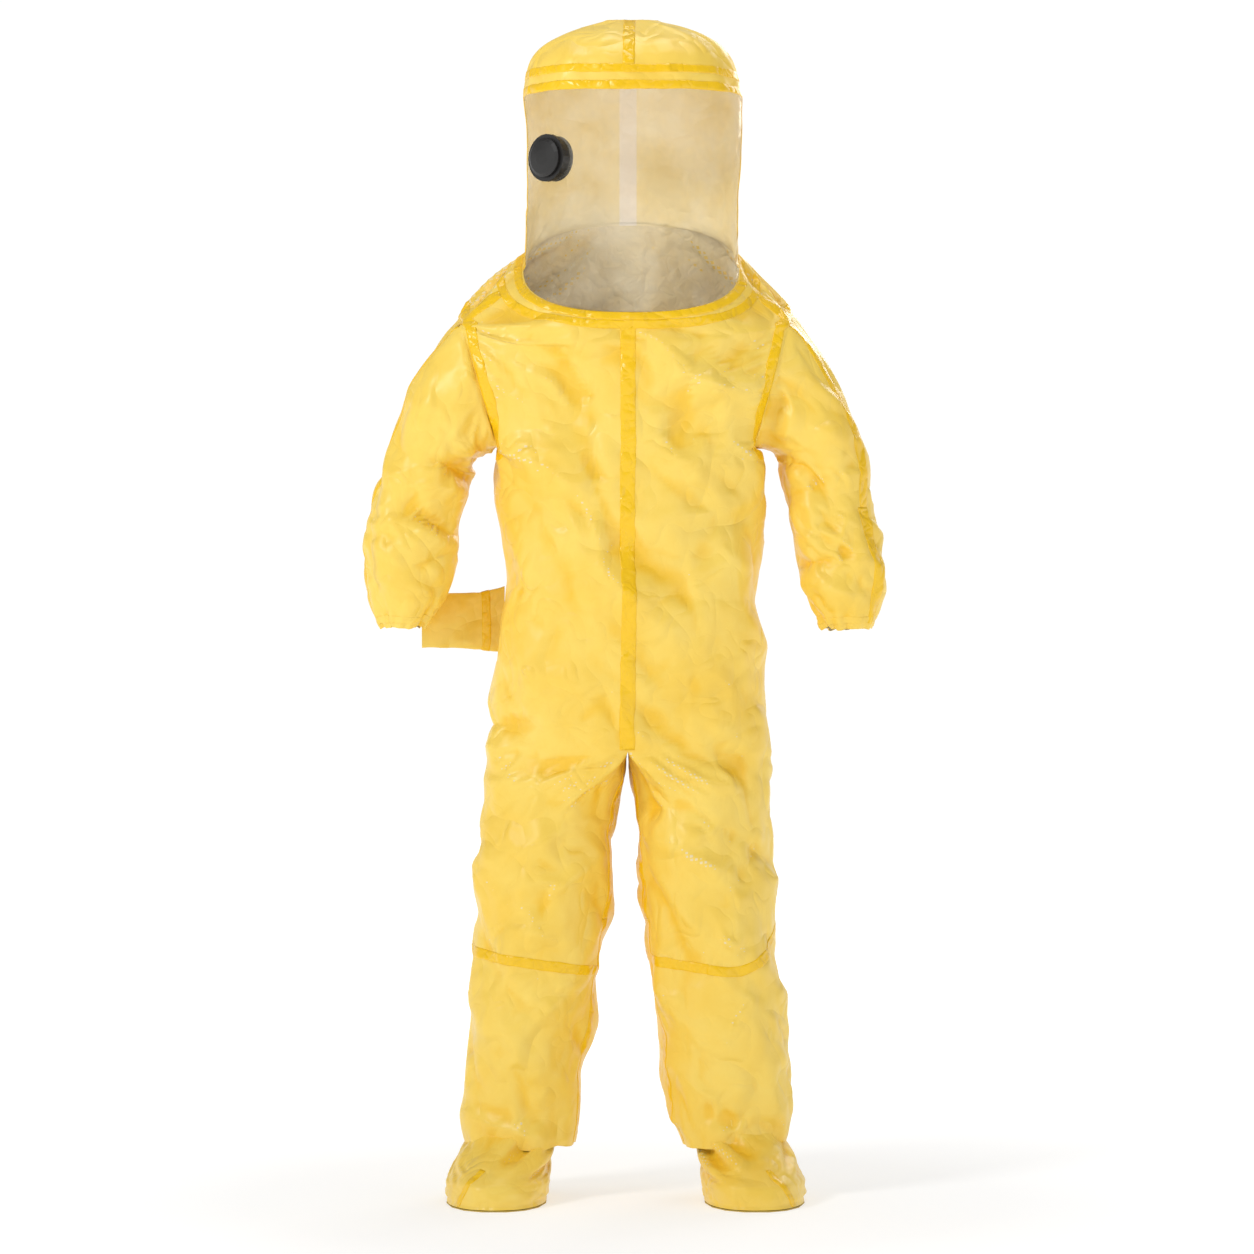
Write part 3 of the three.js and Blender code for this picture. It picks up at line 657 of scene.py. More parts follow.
# %% shader groups
def shader_group(name, inputs, outputs):
    """A new shader node group with named value or vector inputs and outputs."""
    tree = bpy.data.node_groups.new(name, "ShaderNodeTree")
    for label, kind, value in inputs:
        socket = tree.interface.new_socket(label, in_out="INPUT", socket_type=kind)
        if value is not None:
            socket.default_value = value
    for label, kind in outputs:
        tree.interface.new_socket(label, in_out="OUTPUT", socket_type=kind)
    return tree, tree.nodes.new("NodeGroupInput"), tree.nodes.new("NodeGroupOutput")


def add(tree, kind, links=None, **settings):
    """A node with its settings; links maps an input name or number to an output socket or a value."""
    node = tree.nodes.new(kind)
    for key, value in settings.items():
        setattr(node, key, value)
    for key, value in (links or {}).items():
        if isinstance(value, bpy.types.NodeSocket):
            tree.links.new(value, node.inputs[key])
        else:
            node.inputs[key].default_value = value
    return node


def crumple_group():
    """Height of crumpled film: the distance of two soft noises from their middle value, which draws
    sharp creases with smooth cloth between them; and a cloudy mask for colour and gloss."""
    tree, given, made = shader_group("crumple",
                                     [("Vector", "NodeSocketVector", None),
                                      ("Scale", "NodeSocketFloat", 12.0)],
                                     [("Height", "NodeSocketFloat"), ("Cloud", "NodeSocketFloat")])
    parts = []
    for factor, share in ((1.0, 1.0), (2.7, 0.35)):
        scale = add(tree, "ShaderNodeMath", {0: given.outputs["Scale"], 1: factor}, operation="MULTIPLY")
        noise = add(tree, "ShaderNodeTexNoise",
                    {"Vector": given.outputs["Vector"], "Scale": scale.outputs[0],
                     "Detail": 0.0, "Distortion": 0.6})
        offset = add(tree, "ShaderNodeMath", {0: noise.outputs["Fac"], 1: 0.5}, operation="SUBTRACT")
        ridge = add(tree, "ShaderNodeMath", {0: offset.outputs[0]}, operation="ABSOLUTE")
        parts.append(add(tree, "ShaderNodeMath", {0: ridge.outputs[0], 1: share},
                         operation="MULTIPLY").outputs[0])
    both = add(tree, "ShaderNodeMath", {0: parts[0], 1: parts[1]}, operation="ADD")
    tree.links.new(both.outputs[0], made.inputs["Height"])
    cloud = add(tree, "ShaderNodeTexNoise",
                {"Vector": given.outputs["Vector"], "Scale": 7.0, "Detail": 5.0, "Roughness": 0.6})
    tree.links.new(cloud.outputs["Fac"], made.inputs["Cloud"])
    return tree


def grain_group():
    """The fine pressed grain of coated non-woven cloth, as a height."""
    tree, given, made = shader_group("pressed grain", [("Vector", "NodeSocketVector", None)],
                                     [("Height", "NodeSocketFloat")])
    fine = add(tree, "ShaderNodeTexNoise",
               {"Vector": given.outputs["Vector"], "Scale": 420.0, "Detail": 3.0})
    tree.links.new(fine.outputs["Fac"], made.inputs["Height"])
    return tree


CRUMPLE, GRAIN = crumple_group(), grain_group()


def coated(name, colour, deep_tone_and_shade, roughness, crumple, scale=26.0, grain=0.15):
    """A coated sheet: its colour drifts a little towards a deeper one with a slow cloud, and further
    towards it where the mesh's valley attribute marks a fold, which is painted shade; its surface is
    crumpled and finely grained. crumple and grain are bump strengths."""
    made, tree, shader = material(name)
    place = tree.nodes.new("ShaderNodeTexCoord").outputs["Object"]
    folds = add(tree, "ShaderNodeGroup", node_tree=CRUMPLE)
    tree.links.new(place, folds.inputs["Vector"])
    folds.inputs["Scale"].default_value = scale
    fine = add(tree, "ShaderNodeGroup", node_tree=GRAIN)
    tree.links.new(place, fine.inputs["Vector"])
    drift = add(tree, "ShaderNodeMapRange",
                {"Value": folds.outputs["Cloud"], "From Min": 0.35, "From Max": 0.7})
    drift.inputs["To Max"].default_value = 0.55
    # Painted shade: the fold depth from the valley attribute mixes the deeper colour into the creases.
    depth = add(tree, "ShaderNodeAttribute", attribute_name="valley")
    painted_crease_shade = add(tree, "ShaderNodeMapRange",
                 {"Value": depth.outputs["Fac"], "From Min": -0.1, "From Max": 1.5})
    both = add(tree, "ShaderNodeMath", {0: drift.outputs[0], 1: painted_crease_shade.outputs[0]}, operation="ADD",
               use_clamp=True)
    mix = add(tree, "ShaderNodeMix", {"Factor": both.outputs[0]}, data_type="RGBA")
    mix.inputs["A"].default_value = (*colour, 1)
    mix.inputs["B"].default_value = (*deep_tone_and_shade, 1)
    tree.links.new(mix.outputs["Result"], shader.inputs["Base Color"])
    wear = add(tree, "ShaderNodeMapRange",
               {"Value": folds.outputs["Cloud"], "From Min": 0.3, "From Max": 0.75,
                "To Min": roughness - 0.05, "To Max": roughness + 0.08})
    tree.links.new(wear.outputs[0], shader.inputs["Roughness"])
    rough = add(tree, "ShaderNodeBump", {"Height": fine.outputs["Height"], "Strength": grain,
                                         "Distance": 0.4 * MM})
    bump_node = add(tree, "ShaderNodeBump",
                    {"Height": folds.outputs["Height"], "Strength": crumple, "Distance": 34 * MM,
                     "Normal": rough.outputs["Normal"]})
    tree.links.new(bump_node.outputs["Normal"], shader.inputs["Normal"])
    return made, tree, shader, place, mix


# %% [markdown]
# ## Finishes of the garment
# The cloth has a coating. Its colour is paler where it lies smooth and deeper yellow where it is
# creased: that is painted shade, standing in for the shade and coloured bounce light inside folds.
# The depth of each fold is stored on the mesh as an attribute named valley, and the painted shade
# follows it. The tape is smoother and more strongly coloured. The visor is a clear film with a milky
# cloud, so its alpha varies, and the hood's inner face carries a pale band over the zipper.

# %% finishes of the garment
# The second colour of each coated finish is both a random deeper tone and painted shade, mixed in along the
# folds that the valley attribute marks.
fabric_material = coated("coated fabric", (0.91, 0.655, 0.12), (0.87, 0.53, 0.025), 0.40, 0.6, 9.0)[0]
tape_material = coated("seam tape", (0.90, 0.56, 0.006), (0.87, 0.51, 0.004), 0.30, 0.35, 22.0)[0]
lining_material = coated("pale inner face", (0.86, 0.72, 0.42), (0.80, 0.62, 0.30), 0.6, 0.3)[0]
hood_lining, tree, shader, where, mix = coated("hood inner face", (1.0, 0.84, 0.46), (0.97, 0.77, 0.34),
                                               0.5, 0.4, 9.0)
xyz = add(tree, "ShaderNodeSeparateXYZ", {0: where})
off = add(tree, "ShaderNodeMath", {0: xyz.outputs["X"], 1: SEAM_X}, operation="SUBTRACT")
side = add(tree, "ShaderNodeMath", {0: off.outputs[0]}, operation="ABSOLUTE")
zip_band = add(tree, "ShaderNodeMapRange",
               {"Value": side.outputs[0], "From Min": 15 * MM, "From Max": 13 * MM})
pale = add(tree, "ShaderNodeMix", {"Factor": zip_band.outputs[0], "A": mix.outputs["Result"]},
           data_type="RGBA")
pale.inputs["B"].default_value = (0.98, 0.88, 0.76, 1)
tree.links.new(mix.outputs["Result"], pale.inputs["A"])
tree.links.new(pale.outputs["Result"], shader.inputs["Base Color"])
visor_material, tree, shader = material("visor film")
place_of = tree.nodes.new("ShaderNodeTexCoord").outputs["Object"]
folds = add(tree, "ShaderNodeGroup", node_tree=CRUMPLE)
tree.links.new(place_of, folds.inputs["Vector"])
folds.inputs["Scale"].default_value = 9.0
milk = add(tree, "ShaderNodeMapRange", {"Value": folds.outputs["Cloud"], "From Min": 0.38, "From Max": 0.72,
                                        "To Min": 0.03, "To Max": 0.20})
tree.links.new(milk.outputs[0], shader.inputs["Alpha"])
wave = add(tree, "ShaderNodeBump", {"Height": folds.outputs["Height"], "Strength": 0.35,
                                    "Distance": 20 * MM})
tree.links.new(wave.outputs["Normal"], shader.inputs["Normal"])
shader.inputs["Base Color"].default_value = (1.0, 0.93, 0.76, 1)
shader.inputs["Roughness"].default_value = 0.14
shader.inputs["Specular IOR Level"].default_value = 0.8


def place(piece, node, body, slot="fabric", bend=None):
    """Lets a cloth piece stand for a frame node, which it hides: without bend it rides its body; with bend
    its transform is only baked into its mesh and it rides no body.
    """
    if bend:
        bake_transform(piece)
    else:
        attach(piece, body)
    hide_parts(node)


# %% [markdown]
# ## Torso
# The trunk hangs from a slanted collar line, lower in front than behind. Its sections tilt with
# that line near the shoulders. Between armpit and shoulder the sides are cut flat along the
# armhole, and a window of the grid is left open there for the sleeve.

# %% torso tube
COLUMNS = 160
TORSO_ROWS = 147
COLLAR_Z = 1487.4 * MM
HIP_Z = 728.4 * MM
BODY_Y = 21 * MM
ZIP_TUCK = 4.2 * MM                                      # how far the cloth lies under the zipper's tapes
ARMHOLE = np.array([[206, 1204], [266, 1410]]) * MM      # foot and top of the armhole, x and z
# Window columns run back to front on the left, and front to back on the right.
HOLE_COLUMNS = ((32, 48), (112, 128))

torso_z = np.linspace(COLLAR_Z, HIP_Z, TORSO_ROWS)
torso_rise = np.interp(torso_z, [1.17, 1.206, 1.29, 1.35, 1.398, 1.432, 1.462, 1.4874],
                       [0, 0.03, 0.08, 0.16, 0.28, 0.4, 0.5, 0.575])
HOLE_TOP = int(np.argmax(torso_z <= 1.411))
HOLE_FOOT = HOLE_TOP + 40
torso_names = [f"torso_{face}_{side}" for face in ("front", "back") for side in ("right", "left")]


def tilted_planes(heights, rise):
    """Planes through the body's axis that rise towards the back by a share."""
    count = len(heights)
    length = np.hypot(1, rise)
    origins = np.stack([np.full(count, SEAM_X), np.full(count, BODY_Y), heights], axis=-1)
    return (origins, np.tile([1.0, 0, 0], (count, 1)),
            np.stack([0 * rise, 1 / length, rise / length], axis=-1))


def armhole_x(z):
    """Half the shoulder width at a height, along the armhole line."""
    return np.interp(z, ARMHOLE[:, 1], ARMHOLE[:, 0]) + 0.29 * np.clip(z - ARMHOLE[1, 1], 0, 1)


def body_rings(names, heights, rise, power, armholes=False):
    """Rings whose first column and half-way column lie on the seam lines at centre back and front.
    With armholes, the sides widen just enough to be cut flat along the armhole line."""
    origins, across, along = tilted_planes(heights, rise)
    measured = reaches(names, origins, across, along)
    window = np.zeros(len(heights), bool)
    if armholes:
        window[HOLE_TOP:HOLE_FOOT + 1] = True
        share = np.clip((heights - ARMHOLE[0, 1]) / (ARMHOLE[1, 1] - ARMHOLE[0, 1]), 0, 1)
        opening = (50 + 32 * np.sin(np.pi * share)) * MM
        depth = 0.5 * (measured[:, 3] - measured[:, 2])
        wide = armhole_x(heights) / (1 - (opening / depth) ** power) ** (1 / power)
        measured[window, 0] = -wide[window] - SEAM_X
        measured[window, 1] = wide[window] - SEAM_X
    measured = smoothed(measured, 5)
    rings, shares = [], []
    for k, origin in enumerate(origins):
        half = 0.5 * (measured[k, 1] - measured[k, 0])
        offset = -0.5 * (measured[k, 1] + measured[k, 0]) / half
        first = np.arcsin(np.sign(offset) * abs(offset) ** (power / 2))
        line = section(measured[k], power, origin, across[k], along[k], first)
        front = (np.pi - 2 * first) / (2 * np.pi)
        mark = [0.2, 0.3, 0.7, 0.8]
        if window[k]:
            edge = armhole_x(line[:, 2])
            beyond = np.abs(line[:, 0]) > edge
            line[:, 0] = np.clip(line[:, 0], -edge, edge)
            length = lengths_of(line) / lengths_of(line)[-1]
            left = np.nonzero(beyond[:int(front * 720)])[0]
            right = np.nonzero(beyond[int(front * 720):])[0] + int(front * 720)
            mark = [length[left[0]], length[left[-1]], length[right[0]], length[right[-1]]]
        length = lengths_of(line) / lengths_of(line)[-1]
        rings.append(line)
        shares.append(mark[:2] + [np.interp(front, np.linspace(0, 1, 721), length)] + mark[2:])
    shares = np.array(shares)
    if armholes:
        for k in range(len(heights)):
            near = min(max(k, HOLE_TOP), HOLE_FOOT)
            w = smoothstep(0, 14, abs(k - near))
            for j in (0, 1, 3, 4):
                shares[k, j] = shares[near, j] * (1 - w) + shares[k, j] * w
    at = (0, 0.2, 0.3, 0.5, 0.7, 0.8, 1)
    return np.array([even_ring(line, COLUMNS, np.concatenate([[0], s, [1]]), at)
                     for line, s in zip(rings, shares)])


torso_target = body_rings(torso_names, torso_z, torso_rise, 2.5, armholes=True)
torso_height = torso_target[..., 2]
around = np.linspace(0, 2 * np.pi, COLUMNS, endpoint=False)[None]
zip_calm = 1 - 0.97 * smoothstep(45 * MM, 30 * MM,
                                 np.abs(torso_target[..., 0] - SEAM_X)) * (torso_target[..., 1] > 0.05)
window_rows = smoothstep(HOLE_TOP - 5, HOLE_TOP,
                         np.arange(TORSO_ROWS)) * smoothstep(HOLE_FOOT + 5, HOLE_FOOT, np.arange(TORSO_ROWS))
side_calm = np.ones((TORSO_ROWS, COLUMNS))
for low, high in HOLE_COLUMNS:
    inside = smoothstep(low - 5, low, np.arange(COLUMNS)) * smoothstep(high + 5, high, np.arange(COLUMNS))
    side_calm -= window_rows[:, None] * inside[None]
torso_free = zip_calm * side_calm
torso_along = 0.022 + 0.03 * bump(torso_height, 0.86, 0.05) + 0.02 * bump(torso_height, 1.20, 0.06)
torso_p = drape(torso_target, torso_along, 0.02, 21, fold=6 * MM, cell=(130 * MM, 130 * MM), crease=8 * MM,
                crease_cell=100 * MM, reach=(1 + 17 * torso_free) * MM, free=torso_free, pinned=(0,),
                folds=TORSO_FOLDS)
torso_p -= normals_of(torso_p) * (ZIP_TUCK * (1 - zip_calm))[..., None]
torso = (torso_p, normals_of(torso_p), cut_of(torso_target, torso_along, 0.02))
print("torso", torso_p.shape, "window rows", HOLE_TOP, HOLE_FOOT)

# %% [markdown]
# ## Legs
# Each leg's top edge is one half of the trunk's hem and a seam between the legs. It rounds off to
# its own section within a hand's width. The right leg is built like the left one, outwards, and
# its columns are then turned round, so that its faces point outwards too.

# %% leg tubes
OUTER, INNER = 80, 32
KNEE_Z = 455 * MM
HEM_Z = 99 * MM
KNEE_ROW = 52
leg_z = np.concatenate([np.linspace(HIP_Z, KNEE_Z, KNEE_ROW + 1), np.linspace(KNEE_Z, HEM_Z, 69)[1:]])


def limb_rings(names, origins, across, along, power, columns, first, low=None):
    """Equal steps round superellipse sections, from an angle measured from the back outwards."""
    measured = reaches(names, origins, across, along)
    if low is not None:
        measured[:, 0] = low
    measured = smoothed(measured, 3)
    return np.array([even_ring(section(m, power, o, a, b, first), columns)
                     for m, o, a, b in zip(measured, origins, across, along)]), measured


def turned(grid):
    """The same rings with their columns in the other direction, from the same first column."""
    return np.roll(grid[:, ::-1], 1, axis=1)


def leg_target(side, g):
    count = len(leg_z)
    origins = np.stack([np.full(count, g * 0.13), np.full(count, 0.03), leg_z], axis=-1)
    across = np.tile([float(g), 0, 0], (count, 1))
    along = np.tile([0, 1.0, 0], (count, 1))
    rings, measured = limb_rings([f"upper_leg_{side}", f"lower_leg_{side}"], origins, across, along, 2.2,
                                 OUTER + INNER, np.radians(-39))
    hem = torso_p[-1]
    outer = hem[:OUTER + 1] if g > 0 else np.concatenate([hem[:1], hem[:OUTER - 1:-1]])
    share = np.linspace(0, 1, INNER + 1)[1:-1, None]
    inner = outer[-1] * (1 - share) + outer[0] * share
    inner[:, 2] -= 5 * MM * np.sin(np.pi * share[:, 0])
    top = np.concatenate([outer, inner])
    w = smoothstep(0, 75 * MM, HIP_Z - leg_z)[:, None, None]
    moved = top[None] + np.stack([0 * leg_z, 0 * leg_z, leg_z - HIP_Z], axis=-1)[:, None]
    return rings * w + moved * (1 - w)


legs, leg_bends = {}, {}
for side, g in (("left", 1), ("right", -1)):
    target = leg_target(side, g)
    if g < 0:
        target = turned(target)
    z = target[..., 2]
    along = (0.03 + 0.08 * bump(z, 0.47, 0.06) + 0.05 * bump(z, 0.34, 0.05) + 0.07 * bump(z, 0.15, 0.05)
             + 0.03 * bump(z, 0.64, 0.05))
    p = drape(target, along, 0.02, 31 if g > 0 else 37, fold=7 * MM, cell=(85 * MM, 110 * MM), reach=15 * MM,
              crease=7 * MM, crease_cell=75 * MM, pinned=(0,), folds=LEG_FOLDS)
    n = normals_of(p)
    outer = np.arange(OUTER + 1) if g > 0 else -np.arange(OUTER + 1)
    shared = n[0, outer] + torso[1][-1, outer if g > 0 else (-np.arange(OUTER + 1)) % COLUMNS]
    shared /= np.linalg.norm(shared, axis=1, keepdims=True)
    n[0, outer] = shared
    torso[1][-1, outer % COLUMNS] = shared
    legs[side] = (p, n, cut_of(target, along, 0.02))
    whole = (0, OUTER + INNER)
    top, fold_line = p[0, :, 2].min() - 1 * MM, p[KNEE_ROW, :, 2].min() - 1 * MM
    hip = (f"{side}_thigh", ("suit", (g * 0.12, 0, top), (g * 0.12, 0, top - 0.10)))
    knee = (f"{side}_shank", (f"{side}_thigh", (g * 0.13, 0, fold_line), (g * 0.13, 0, fold_line - 0.075)))
    leg_bends[side] = (hip[1], knee[1])
    upper = panel(f"upper_leg_{side}", legs[side], (0, KNEE_ROW), whole, fabric_material, lining_material)
    place(upper, f"upper_leg_{side}", hip[0], bend=hip[1])
    lower = panel(f"lower_leg_{side}", legs[side], (KNEE_ROW, len(leg_z) - 1), whole, fabric_material,
                  lining_material)
    place(lower, f"lower_leg_{side}", knee[0], bend=knee[1])

window = [((HOLE_TOP, HOLE_FOOT), columns) for columns in HOLE_COLUMNS]
for name, first in (("torso_back_left", 0), ("torso_front_left", 40), ("torso_front_right", 80),
                    ("torso_back_right", 120)):
    piece = panel(name, torso, (0, TORSO_ROWS - 1), (first, first + 40), fabric_material, lining_material,
                  window)
    place(piece, name, "suit")

# %% [markdown]
# ## Sleeves
# The first row of a sleeve is the edge of the torso's window, point for point. From there its
# sections fan out round the armpit until they lie level, and then go down to the cuff.

# %% sleeve tubes
ELBOW_Z = 1110 * MM
FAN = 40
FAN_FOOT = 1170 * MM
ELBOW_ROW = FAN + 16
fan = np.linspace(0, 1, FAN + 1)
sleeve_z = np.concatenate([np.linspace(FAN_FOOT, ELBOW_Z, 17)[1:], np.linspace(ELBOW_Z, 926 * MM, 53)[1:]])


def armhole_loop(g):
    """The edge of the torso's window, from the middle of its back edge outwards over the shoulder."""
    back, front = HOLE_COLUMNS[0] if g > 0 else HOLE_COLUMNS[1][::-1]
    middle = (HOLE_TOP + HOLE_FOOT) // 2
    step = 1 if front > back else -1
    return ([(r, back) for r in range(middle, HOLE_TOP, -1)]
            + [(HOLE_TOP, c) for c in range(back, front, step)]
            + [(r, front) for r in range(HOLE_TOP, HOLE_FOOT)]
            + [(HOLE_FOOT, c) for c in range(front, back, -step)]
            + [(r, back) for r in range(HOLE_FOOT, middle, -1)])


def sleeve_target(side, g):
    angle = np.radians(73.8) * (1 - fan) ** 1.15
    knots = np.array([[206, 1204], [238, 1200], [246.5, 1170]]) * MM
    start = (((1 - fan) ** 2)[:, None] * knots[0] + (2 * fan * (1 - fan))[:, None] * knots[1]
             + (fan ** 2)[:, None] * knots[2])
    level = len(sleeve_z)
    origins = np.concatenate([np.stack([g * start[:, 0], np.full(FAN + 1, 0.025), start[:, 1]], axis=-1),
                              np.stack([np.full(level, g * 0.2465), np.full(level, 0.025), sleeve_z],
                                       axis=-1)])
    across = np.concatenate([np.stack([g * np.cos(angle), 0 * angle, np.sin(angle)], axis=-1),
                             np.tile([float(g), 0, 0], (level, 1))])
    along = np.tile([0, 1.0, 0], (FAN + 1 + level, 1))
    probe = origins.copy()
    probe[:4] = origins[4]
    turn = across.copy()
    turn[:4] = across[4]
    names = [f"upper_sleeve_{side}", f"lower_sleeve_{side}"]
    measured = reaches(names, probe, turn, along)
    measured[:FAN, 0] = 0
    measured = smoothed(measured, 3)
    rings = np.array([even_ring(section(m, 2.2, o, a, b, 0), 112)
                      for m, o, a, b in zip(measured, origins, across, along)])
    loop = np.array([torso_p[r, c % COLUMNS] for r, c in armhole_loop(g)])
    w = smoothstep(0, 16, np.arange(len(rings)))[:, None, None]
    rings = rings * w + loop[None] * (1 - w)
    middle = rings.mean(axis=1, keepdims=True)
    height = rings[..., 2]
    turn = np.linspace(0, 2 * np.pi, 112, endpoint=False)
    pleats = 0.035 * np.sin(17 * turn + 1.2 * np.sin(3 * turn)) * bump(height, 0.934, 0.012)
    closing = np.clip((0.946 - height) / 0.022, 0, 1)
    gather = 1 - 0.06 * smoothstep(0.98, 0.945,
                                   height) - 0.34 * (1 - np.sqrt(1 - 0.92 * closing ** 2)) + pleats
    flat = np.array([1.0, 1.0, 0])
    return middle + (rings - middle) * (flat * gather[..., None] + (1 - flat))


sleeves, arm_bends = {}, {}
for side, g in (("left", 1), ("right", -1)):
    target = sleeve_target(side, g)
    if g < 0:
        target = turned(target)
    z = target[..., 2]
    along = 0.03 + 0.12 * bump(z, 1.10, 0.05) + 0.12 * bump(z, 1.00, 0.05) + 0.05 * bump(z, 1.22, 0.03)
    around_spare = 0.02 + 0.02 * bump(z, 0.937, 0.015)
    p = drape(target, along, around_spare, 41 if g > 0 else 47, fold=5 * MM, cell=(60 * MM, 80 * MM),
              reach=np.minimum(16, 1 + np.arange(len(target)) * 1.2)[:, None] * MM, crease=5.5 * MM,
              crease_cell=55 * MM, pinned=(0,), folds=SLEEVE_FOLDS)
    sleeves[side] = (p, normals_of(p), cut_of(target, along, around_spare))
    whole = (0, 112)
    shoulder = (f"{side}_upper_arm", ("suit", (g * 0.236, 0.03, 1.307), (g * 0.30, 0.03, 1.288)))
    fold_line = p[ELBOW_ROW, :, 2].min() - 1 * MM
    elbow = (f"{side}_forearm", (f"{side}_upper_arm", (g * 0.33, 0, fold_line),
                                 (g * 0.33, 0, fold_line - 0.07)))
    arm_bends[side] = elbow[1]
    upper = panel(f"upper_sleeve_{side}", sleeves[side], (0, ELBOW_ROW), whole, fabric_material,
                  lining_material)
    place(upper, f"upper_sleeve_{side}", shoulder[0], bend=shoulder[1])
    lower = panel(f"lower_sleeve_{side}", sleeves[side], (ELBOW_ROW, len(p) - 1), whole, fabric_material,
                  lining_material)
    place(lower, f"lower_sleeve_{side}", elbow[0], bend=elbow[1])

# %% [markdown]
# ## Hood
# One tube from the crown down to the collar: crown, brow band and back are fabric, and the front
# from side seam to side seam is the clear visor.

# %% hood tube
CROWN_Z = 1802 * MM
CROWN_ROWS = 20
VISOR_ROW = 25
crown = np.linspace(0, np.pi / 2, CROWN_ROWS + 1)
hood_z = np.concatenate([1887.8 * MM - (1887.8 * MM - CROWN_Z) * (1 - np.cos(crown)),
                         np.linspace(CROWN_Z, COLLAR_Z, 61)[1:]])
hood_z[0] = hood_z[1] + 0.1 * MM
hood_rise = np.interp(hood_z, [1.4874, 1.545, 1.64, 1.72], [0.575, 0.36, 0.12, 0])
hood_names = ["hood_crown_right", "hood_crown_left", "hood_brow_band", "hood_back_right", "hood_back_left",
              "visor"]
hood_target = body_rings(hood_names, hood_z, hood_rise, 2.35)
hood_target[0] = hood_target[1].mean(axis=0)
hood_target[0, :, 2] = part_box("hood_crown_left")[1][2]
hood_target[-1] = torso_p[0]
front = (np.arange(COLUMNS) >= 40) & (np.arange(COLUMNS) <= 120)
film = front[None] & (np.arange(len(hood_z)) >= VISOR_ROW)[:, None]
valve = np.array(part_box("valve_body")).mean(axis=0)
calm = smoothstep(25 * MM, 60 * MM, np.linalg.norm(hood_target - valve, axis=-1))
zip_calm = 1 - 0.97 * smoothstep(45 * MM, 30 * MM,
                                 np.abs(hood_target[..., 0] - SEAM_X)) * (hood_target[..., 1] > 0.05)
hood_free = calm * zip_calm * np.where(film, 0.5, 1.0)
hood_along = np.where(film, 0.008, 0.025)
hood_p = drape(hood_target, hood_along, np.where(film, 0.006, 0.02), 51, fold=4 * MM,
               cell=(90 * MM, 90 * MM), crease=2.2 * MM, crease_cell=70 * MM,
               reach=(1 + 11 * hood_free) * MM, free=hood_free)
above_collar = (np.arange(len(hood_z)) < len(hood_z) - 1)[:, None]
hood_p -= normals_of(hood_p) * (ZIP_TUCK * (1 - zip_calm) * above_collar)[..., None]
hood = (hood_p, normals_of(hood_p), cut_of(hood_target, hood_along, np.where(film, 0.006, 0.02)))
last = len(hood_z) - 1
for name, rows, columns in (("hood_crown_left", (0, CROWN_ROWS), (0, 80)),
                            ("hood_crown_right", (0, CROWN_ROWS), (80, 160)),
                            ("hood_brow_band", (CROWN_ROWS, VISOR_ROW), (40, 120)),
                            ("hood_back_left", (CROWN_ROWS, last), (0, 40)),
                            ("hood_back_right", (CROWN_ROWS, last), (120, 160))):
    piece = panel(name, hood, rows, columns, fabric_material, hood_lining, pole=rows[0] == 0)
    place(piece, name, "suit")
piece = panel("visor", hood, (VISOR_ROW, last), (40, 120), visor_material, suffix="_film")
place(piece, "visor", "suit", "visor")

# %% [markdown]
# ## Socks
# A sock is a short tube that starts inside the leg and widens into the foot. Its planes stay level,
# which is enough for a loose foot with no heel seam. The seam to the leg is covered with a tape.

# %% sock tubes
sock_z = np.concatenate([np.linspace(190, 62, 33), np.linspace(62, 3, 29)[1:]]) * MM
for side, g in (("left", 1), ("right", -1)):
    count = len(sock_z)
    origins = np.stack([np.full(count, g * 0.19), np.full(count, 0.0), sock_z], axis=-1)
    target, measured = limb_rings([f"sock_{side}"], origins, np.tile([float(g), 0, 0], (count, 1)),
                                  np.tile([0, 1.0, 0], (count, 1)), 2.3, 96, 0)
    if g < 0:
        target = turned(target)
    p = drape(target, 0.04, 0.02, 61 + g, fold=2.5 * MM, cell=(40 * MM, 60 * MM), reach=6 * MM,
              crease=1.3 * MM, crease_cell=40 * MM)
    sock = (p, normals_of(p), cut_of(target, 0.04, 0.02))
    piece = panel(f"sock_{side}", sock, (0, count - 1), (0, 96), fabric_material, lining_material)
    place(piece, f"sock_{side}", f"{side}_shank")
    loop = np.linspace(0, 96, 96, endpoint=False)
    place(strip(f"ankle_join_{side}_cloth", sock, np.full(96, 3.0), loop, 10 * MM, tape_material,
                closed=True, seed=17),
          f"ankle_join_{side}", f"{side}_shank", "seam_tape")
    toe = strip(f"toe_seam_tape_{side}", sock, np.linspace(34, 59, 50), np.linspace(44, 38, 50) if g > 0 else
                np.linspace(52, 58, 50), 12 * MM, tape_material, seed=18)
    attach(toe, f"{side}_shank")

# %% [markdown]
# ## Seam tapes
# Every sewn seam of a gas-tight suit is covered with a heat-welded tape. The tapes are thin, smooth
# and more strongly coloured than the cloth, and their edges wander a little.

